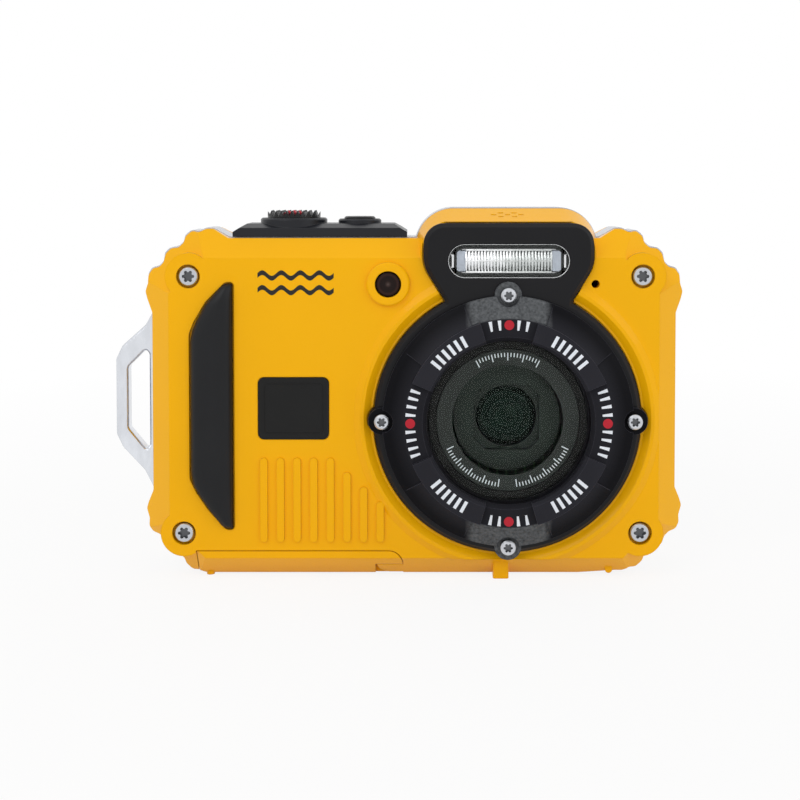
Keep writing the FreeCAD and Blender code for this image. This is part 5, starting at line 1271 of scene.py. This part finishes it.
class CAMERA_OT_display_border(LooksOperator):
    """Add the black border inside the display window"""

    bl_idname = "camera_looks.display_border"
    bl_label = "Display Border"

    def execute(self, context):
        back = looks().back
        low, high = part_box("display_window")
        place = middle("display_window")
        place.y = low.y + PRINT_SUNK
        width = high.x - low.x - 2 * back.border_gap
        height = high.z - low.z - 2 * back.border_gap
        bm = bmesh.new()
        add_border(
            bm, at(place, facing=TO_BACK), width, height, back.border_corner, back.border_width,
            PRINT_HIGH)
        ink = moulded(
            "border_ink", (0.008, 0.008, 0.009), 0.4, depth=0.002, spread=0.1, blotch=9.0, edge=0.0,
            specular=0.3)
        finished("display_border", bm, ink, "camera")
        return {"FINISHED"}


class CAMERA_OT_key_marks(LooksOperator):
    """Print plain signs on the keys: arrows, plus and minus, menu bars, play and bin"""

    bl_idname = "camera_looks.key_marks"
    bl_label = "Key Marks"

    def execute(self, context):
        back = looks().back
        paint = marking_paint()
        for node, bars in KEY_BARS.items():
            bm = bmesh.new()
            for right, up, size, width, turn in bars:
                place = self.on_key(node, right * MM, up * MM, math.radians(turn))
                add_bar(bm, place, size * MM, width * MM, PRINT_HIGH)
            body = node.replace("_button", "_key")
            finished(node.replace("_button", "_sign"), bm, paint, body)
        play = bmesh.new()
        add_disc(play, self.on_key("play_button", back.play_right), back.play_size, PRINT_HIGH, segments=3)
        finished("play_sign", play, paint, "play_key")
        dot = bmesh.new()
        add_disc(dot, self.on_key("record_button"), back.record_size, PRINT_HIGH)
        finished("record_sign", dot, paint, "record_key")
        arrows = bmesh.new()
        for quarter in range(4):
            angle = quarter * math.pi / 2
            right = back.arrow_place * math.cos(angle)
            up = back.arrow_place * math.sin(angle)
            place = self.on_key("nav_pad", right, up, angle)
            add_disc(arrows, place, back.arrow_size, PRINT_HIGH, segments=3)
        finished("pad_arrows", arrows, paint, "navigation_pad")
        hoop = bmesh.new()
        add_hoop(hoop, self.on_key("ok_button"), back.hoop_radius, back.hoop_width, PRINT_HIGH)
        finished("centre_sign", hoop, paint, "centre_key")
        return {"FINISHED"}

    def on_key(self, node, right=0.0, up=0.0, turn=0.0):
        """Place on a key's face, to the right and up from its middle as seen from the back."""
        place = middle(node)
        place.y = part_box(node)[1].y - LAP
        return at(place + Vector((-right, 0.0, up)), turn, TO_BACK)


class CAMERA_OT_studio(LooksOperator):
    """Make the floor, the lamps, the surroundings and the camera"""

    bl_idname = "camera_looks.studio"
    bl_label = "Studio"

    def execute(self, context):
        studio = looks().studio
        scene = context.scene
        scene.view_settings.view_transform = "Standard"
        self.floor(studio)
        self.surroundings(scene, studio)
        self.lamp("main_lamp", place=(-0.42, -0.55, 0.62), size=0.55, power=studio.key_power)
        self.lamp("fill_lamp", place=(0.60, -0.42, 0.34), size=0.5, power=studio.fill_power)
        self.lamp("top_lamp", place=(0.05, 0.15, 0.75), size=0.6, power=studio.top_power)
        lens = bpy.data.cameras.new("view")
        lens.lens = studio.lens
        lens.sensor_width = 36.0
        lens.shift_x, lens.shift_y = studio.shift
        lens.clip_start = 0.01
        lens.clip_end = 20.0
        view = bpy.data.objects.new("view", lens)
        view.location = studio.eye
        view.rotation_euler = (math.pi / 2 - studio.pitch, 0.0, 0.0)
        scene.collection.objects.link(view)
        scene.camera = view
        return {"FINISHED"}

    def floor(self, studio):
        """Round white floor that fades into the background and keeps the shadow."""
        bm = bmesh.new()
        bmesh.ops.create_circle(bm, cap_ends=True, radius=studio.floor_radius, segments=96)
        bmesh.ops.translate(bm, vec=(0.0, 0.0, CAD_BOUNDS[0].z - studio.floor_gap), verts=bm.verts)
        mesh = bpy.data.meshes.new("floor")
        bm.to_mesh(mesh)
        bm.free()
        material, nodes, links, shader = fresh_shader("white_floor")
        point = own_point(nodes, links)
        span = nodes.new("ShaderNodeVectorMath")
        span.operation = "LENGTH"
        links.new(point, span.inputs[0])
        away = span.outputs["Value"]
        fade = between(nodes, links, away, studio.fade_least, 1.0, studio.fade_near, studio.fade_far)
        seen = computed(nodes, links, "MULTIPLY", fade, self.seen_rays(nodes, links))
        grain = noise(nodes, links, point, 0.05, 3.0)
        pale = blended(nodes, links, grain, (0.86, 0.86, 0.86), (0.90, 0.90, 0.90))
        links.new(pale, shader.inputs["Base Color"])
        shader.inputs["Roughness"].default_value = 0.7
        shader.inputs["Specular IOR Level"].default_value = 0.1
        glow = nodes.new("ShaderNodeEmission")
        mix = nodes.new("ShaderNodeMixShader")
        links.new(seen, mix.inputs[0])
        links.new(shader.outputs[0], mix.inputs[1])
        links.new(glow.outputs[0], mix.inputs[2])
        links.new(mix.outputs[0], nodes["Material Output"].inputs["Surface"])
        mesh.materials.append(material)
        floor = bpy.data.objects.new("floor", mesh)
        bpy.context.scene.collection.objects.link(floor)

    def seen_rays(self, nodes, links):
        """One for rays from the camera, from mirrors and through glass."""
        path = nodes.new("ShaderNodeLightPath").outputs
        some = computed(nodes, links, "MAXIMUM", path["Is Camera Ray"], path["Is Glossy Ray"])
        return computed(nodes, links, "MAXIMUM", some, path["Is Transmission Ray"])

    def surroundings(self, scene, studio):
        """White background with a soft light that is weaker from the front."""
        world = bpy.data.worlds.new("white_room")
        world.use_nodes = True
        nodes, links = world.node_tree.nodes, world.node_tree.links
        light = nodes["Background"]
        light.inputs["Color"].default_value = (1.0, 1.0, 1.0, 1.0)
        direction = nodes.new("ShaderNodeTexCoord").outputs["Generated"]
        soft = between(nodes, links, along_axes(nodes, links, direction)["Y"], 0.85, 1.0, -0.9, 0.2)
        level = computed(nodes, links, "MULTIPLY", soft, studio.sky)
        shown = nodes.new("ShaderNodeMix")
        shown.data_type = "FLOAT"
        links.new(self.seen_rays(nodes, links), shown.inputs[0])
        links.new(level, shown.inputs[2])
        shown.inputs[3].default_value = 1.0
        links.new(shown.outputs[0], light.inputs["Strength"])
        scene.world = world

    def lamp(self, name, place, size, power):
        """Square soft lamp that faces the camera's middle."""
        light = bpy.data.lights.new(name, "AREA")
        light.energy = power
        light.size = size
        lamp = bpy.data.objects.new(name, light)
        lamp.location = place
        aim = (CAD_BOUNDS[0] + CAD_BOUNDS[1]) / 2
        lamp.rotation_euler = (aim - Vector(place)).to_track_quat("-Z", "Y").to_euler()
        bpy.context.scene.collection.objects.link(lamp)


STEPS = (
    CAMERA_OT_cover_finish,
    CAMERA_OT_metal_finish,
    CAMERA_OT_black_finish,
    CAMERA_OT_rubber_finish,
    CAMERA_OT_glass_finish,
    CAMERA_OT_inner_finish,
    CAMERA_OT_key_finish,
    CAMERA_OT_ring_marks,
    CAMERA_OT_glass_marks,
    CAMERA_OT_water_mark,
    CAMERA_OT_badge_rim,
    CAMERA_OT_grip_crown,
    CAMERA_OT_shutter_teeth,
    CAMERA_OT_flash_insert,
    CAMERA_OT_display_border,
    CAMERA_OT_key_marks,
    CAMERA_OT_studio,
)


class CAMERA_PT_looks(Panel):
    """Steps and settings of the camera's looks"""

    bl_idname = "CAMERA_PT_looks"
    bl_label = "Camera Looks"
    bl_space_type = "VIEW_3D"
    bl_region_type = "UI"
    bl_category = "Camera Looks"

    def draw(self, context):
        for step in STEPS:
            self.layout.operator(step.bl_idname)
        settings = context.scene.camera_looks
        for group_name in settings.__annotations__:
            group = getattr(settings, group_name)
            box = self.layout.box()
            for name in group.__annotations__:
                box.prop(group, name)


CLASSES = (
    FinishColours, RingMarks, WindowMarks, FrontDetails, FlashDetails, BackDetails, StudioSettings,
    CameraLooks, *STEPS, CAMERA_PT_looks)


def register():
    """Register the classes and the settings."""
    for each in CLASSES:
        bpy.utils.register_class(each)
    bpy.types.Scene.camera_looks = PointerProperty(type=CameraLooks)


def unregister():
    """Remove the settings and the classes."""
    del bpy.types.Scene.camera_looks
    for each in reversed(CLASSES):
        bpy.utils.unregister_class(each)


def main():
    """Run every step in order."""
    register()
    bpy.ops.camera_looks.cover_finish()
    bpy.ops.camera_looks.metal_finish()
    bpy.ops.camera_looks.black_finish()
    bpy.ops.camera_looks.rubber_finish()
    bpy.ops.camera_looks.glass_finish()
    bpy.ops.camera_looks.inner_finish()
    bpy.ops.camera_looks.key_finish()
    bpy.ops.camera_looks.ring_marks()
    bpy.ops.camera_looks.glass_marks()
    bpy.ops.camera_looks.water_mark()
    bpy.ops.camera_looks.badge_rim()
    bpy.ops.camera_looks.grip_crown()
    bpy.ops.camera_looks.shutter_teeth()
    bpy.ops.camera_looks.flash_insert()
    bpy.ops.camera_looks.display_border()
    bpy.ops.camera_looks.key_marks()
    bpy.ops.camera_looks.studio()


if __name__ == "__main__":
    main()
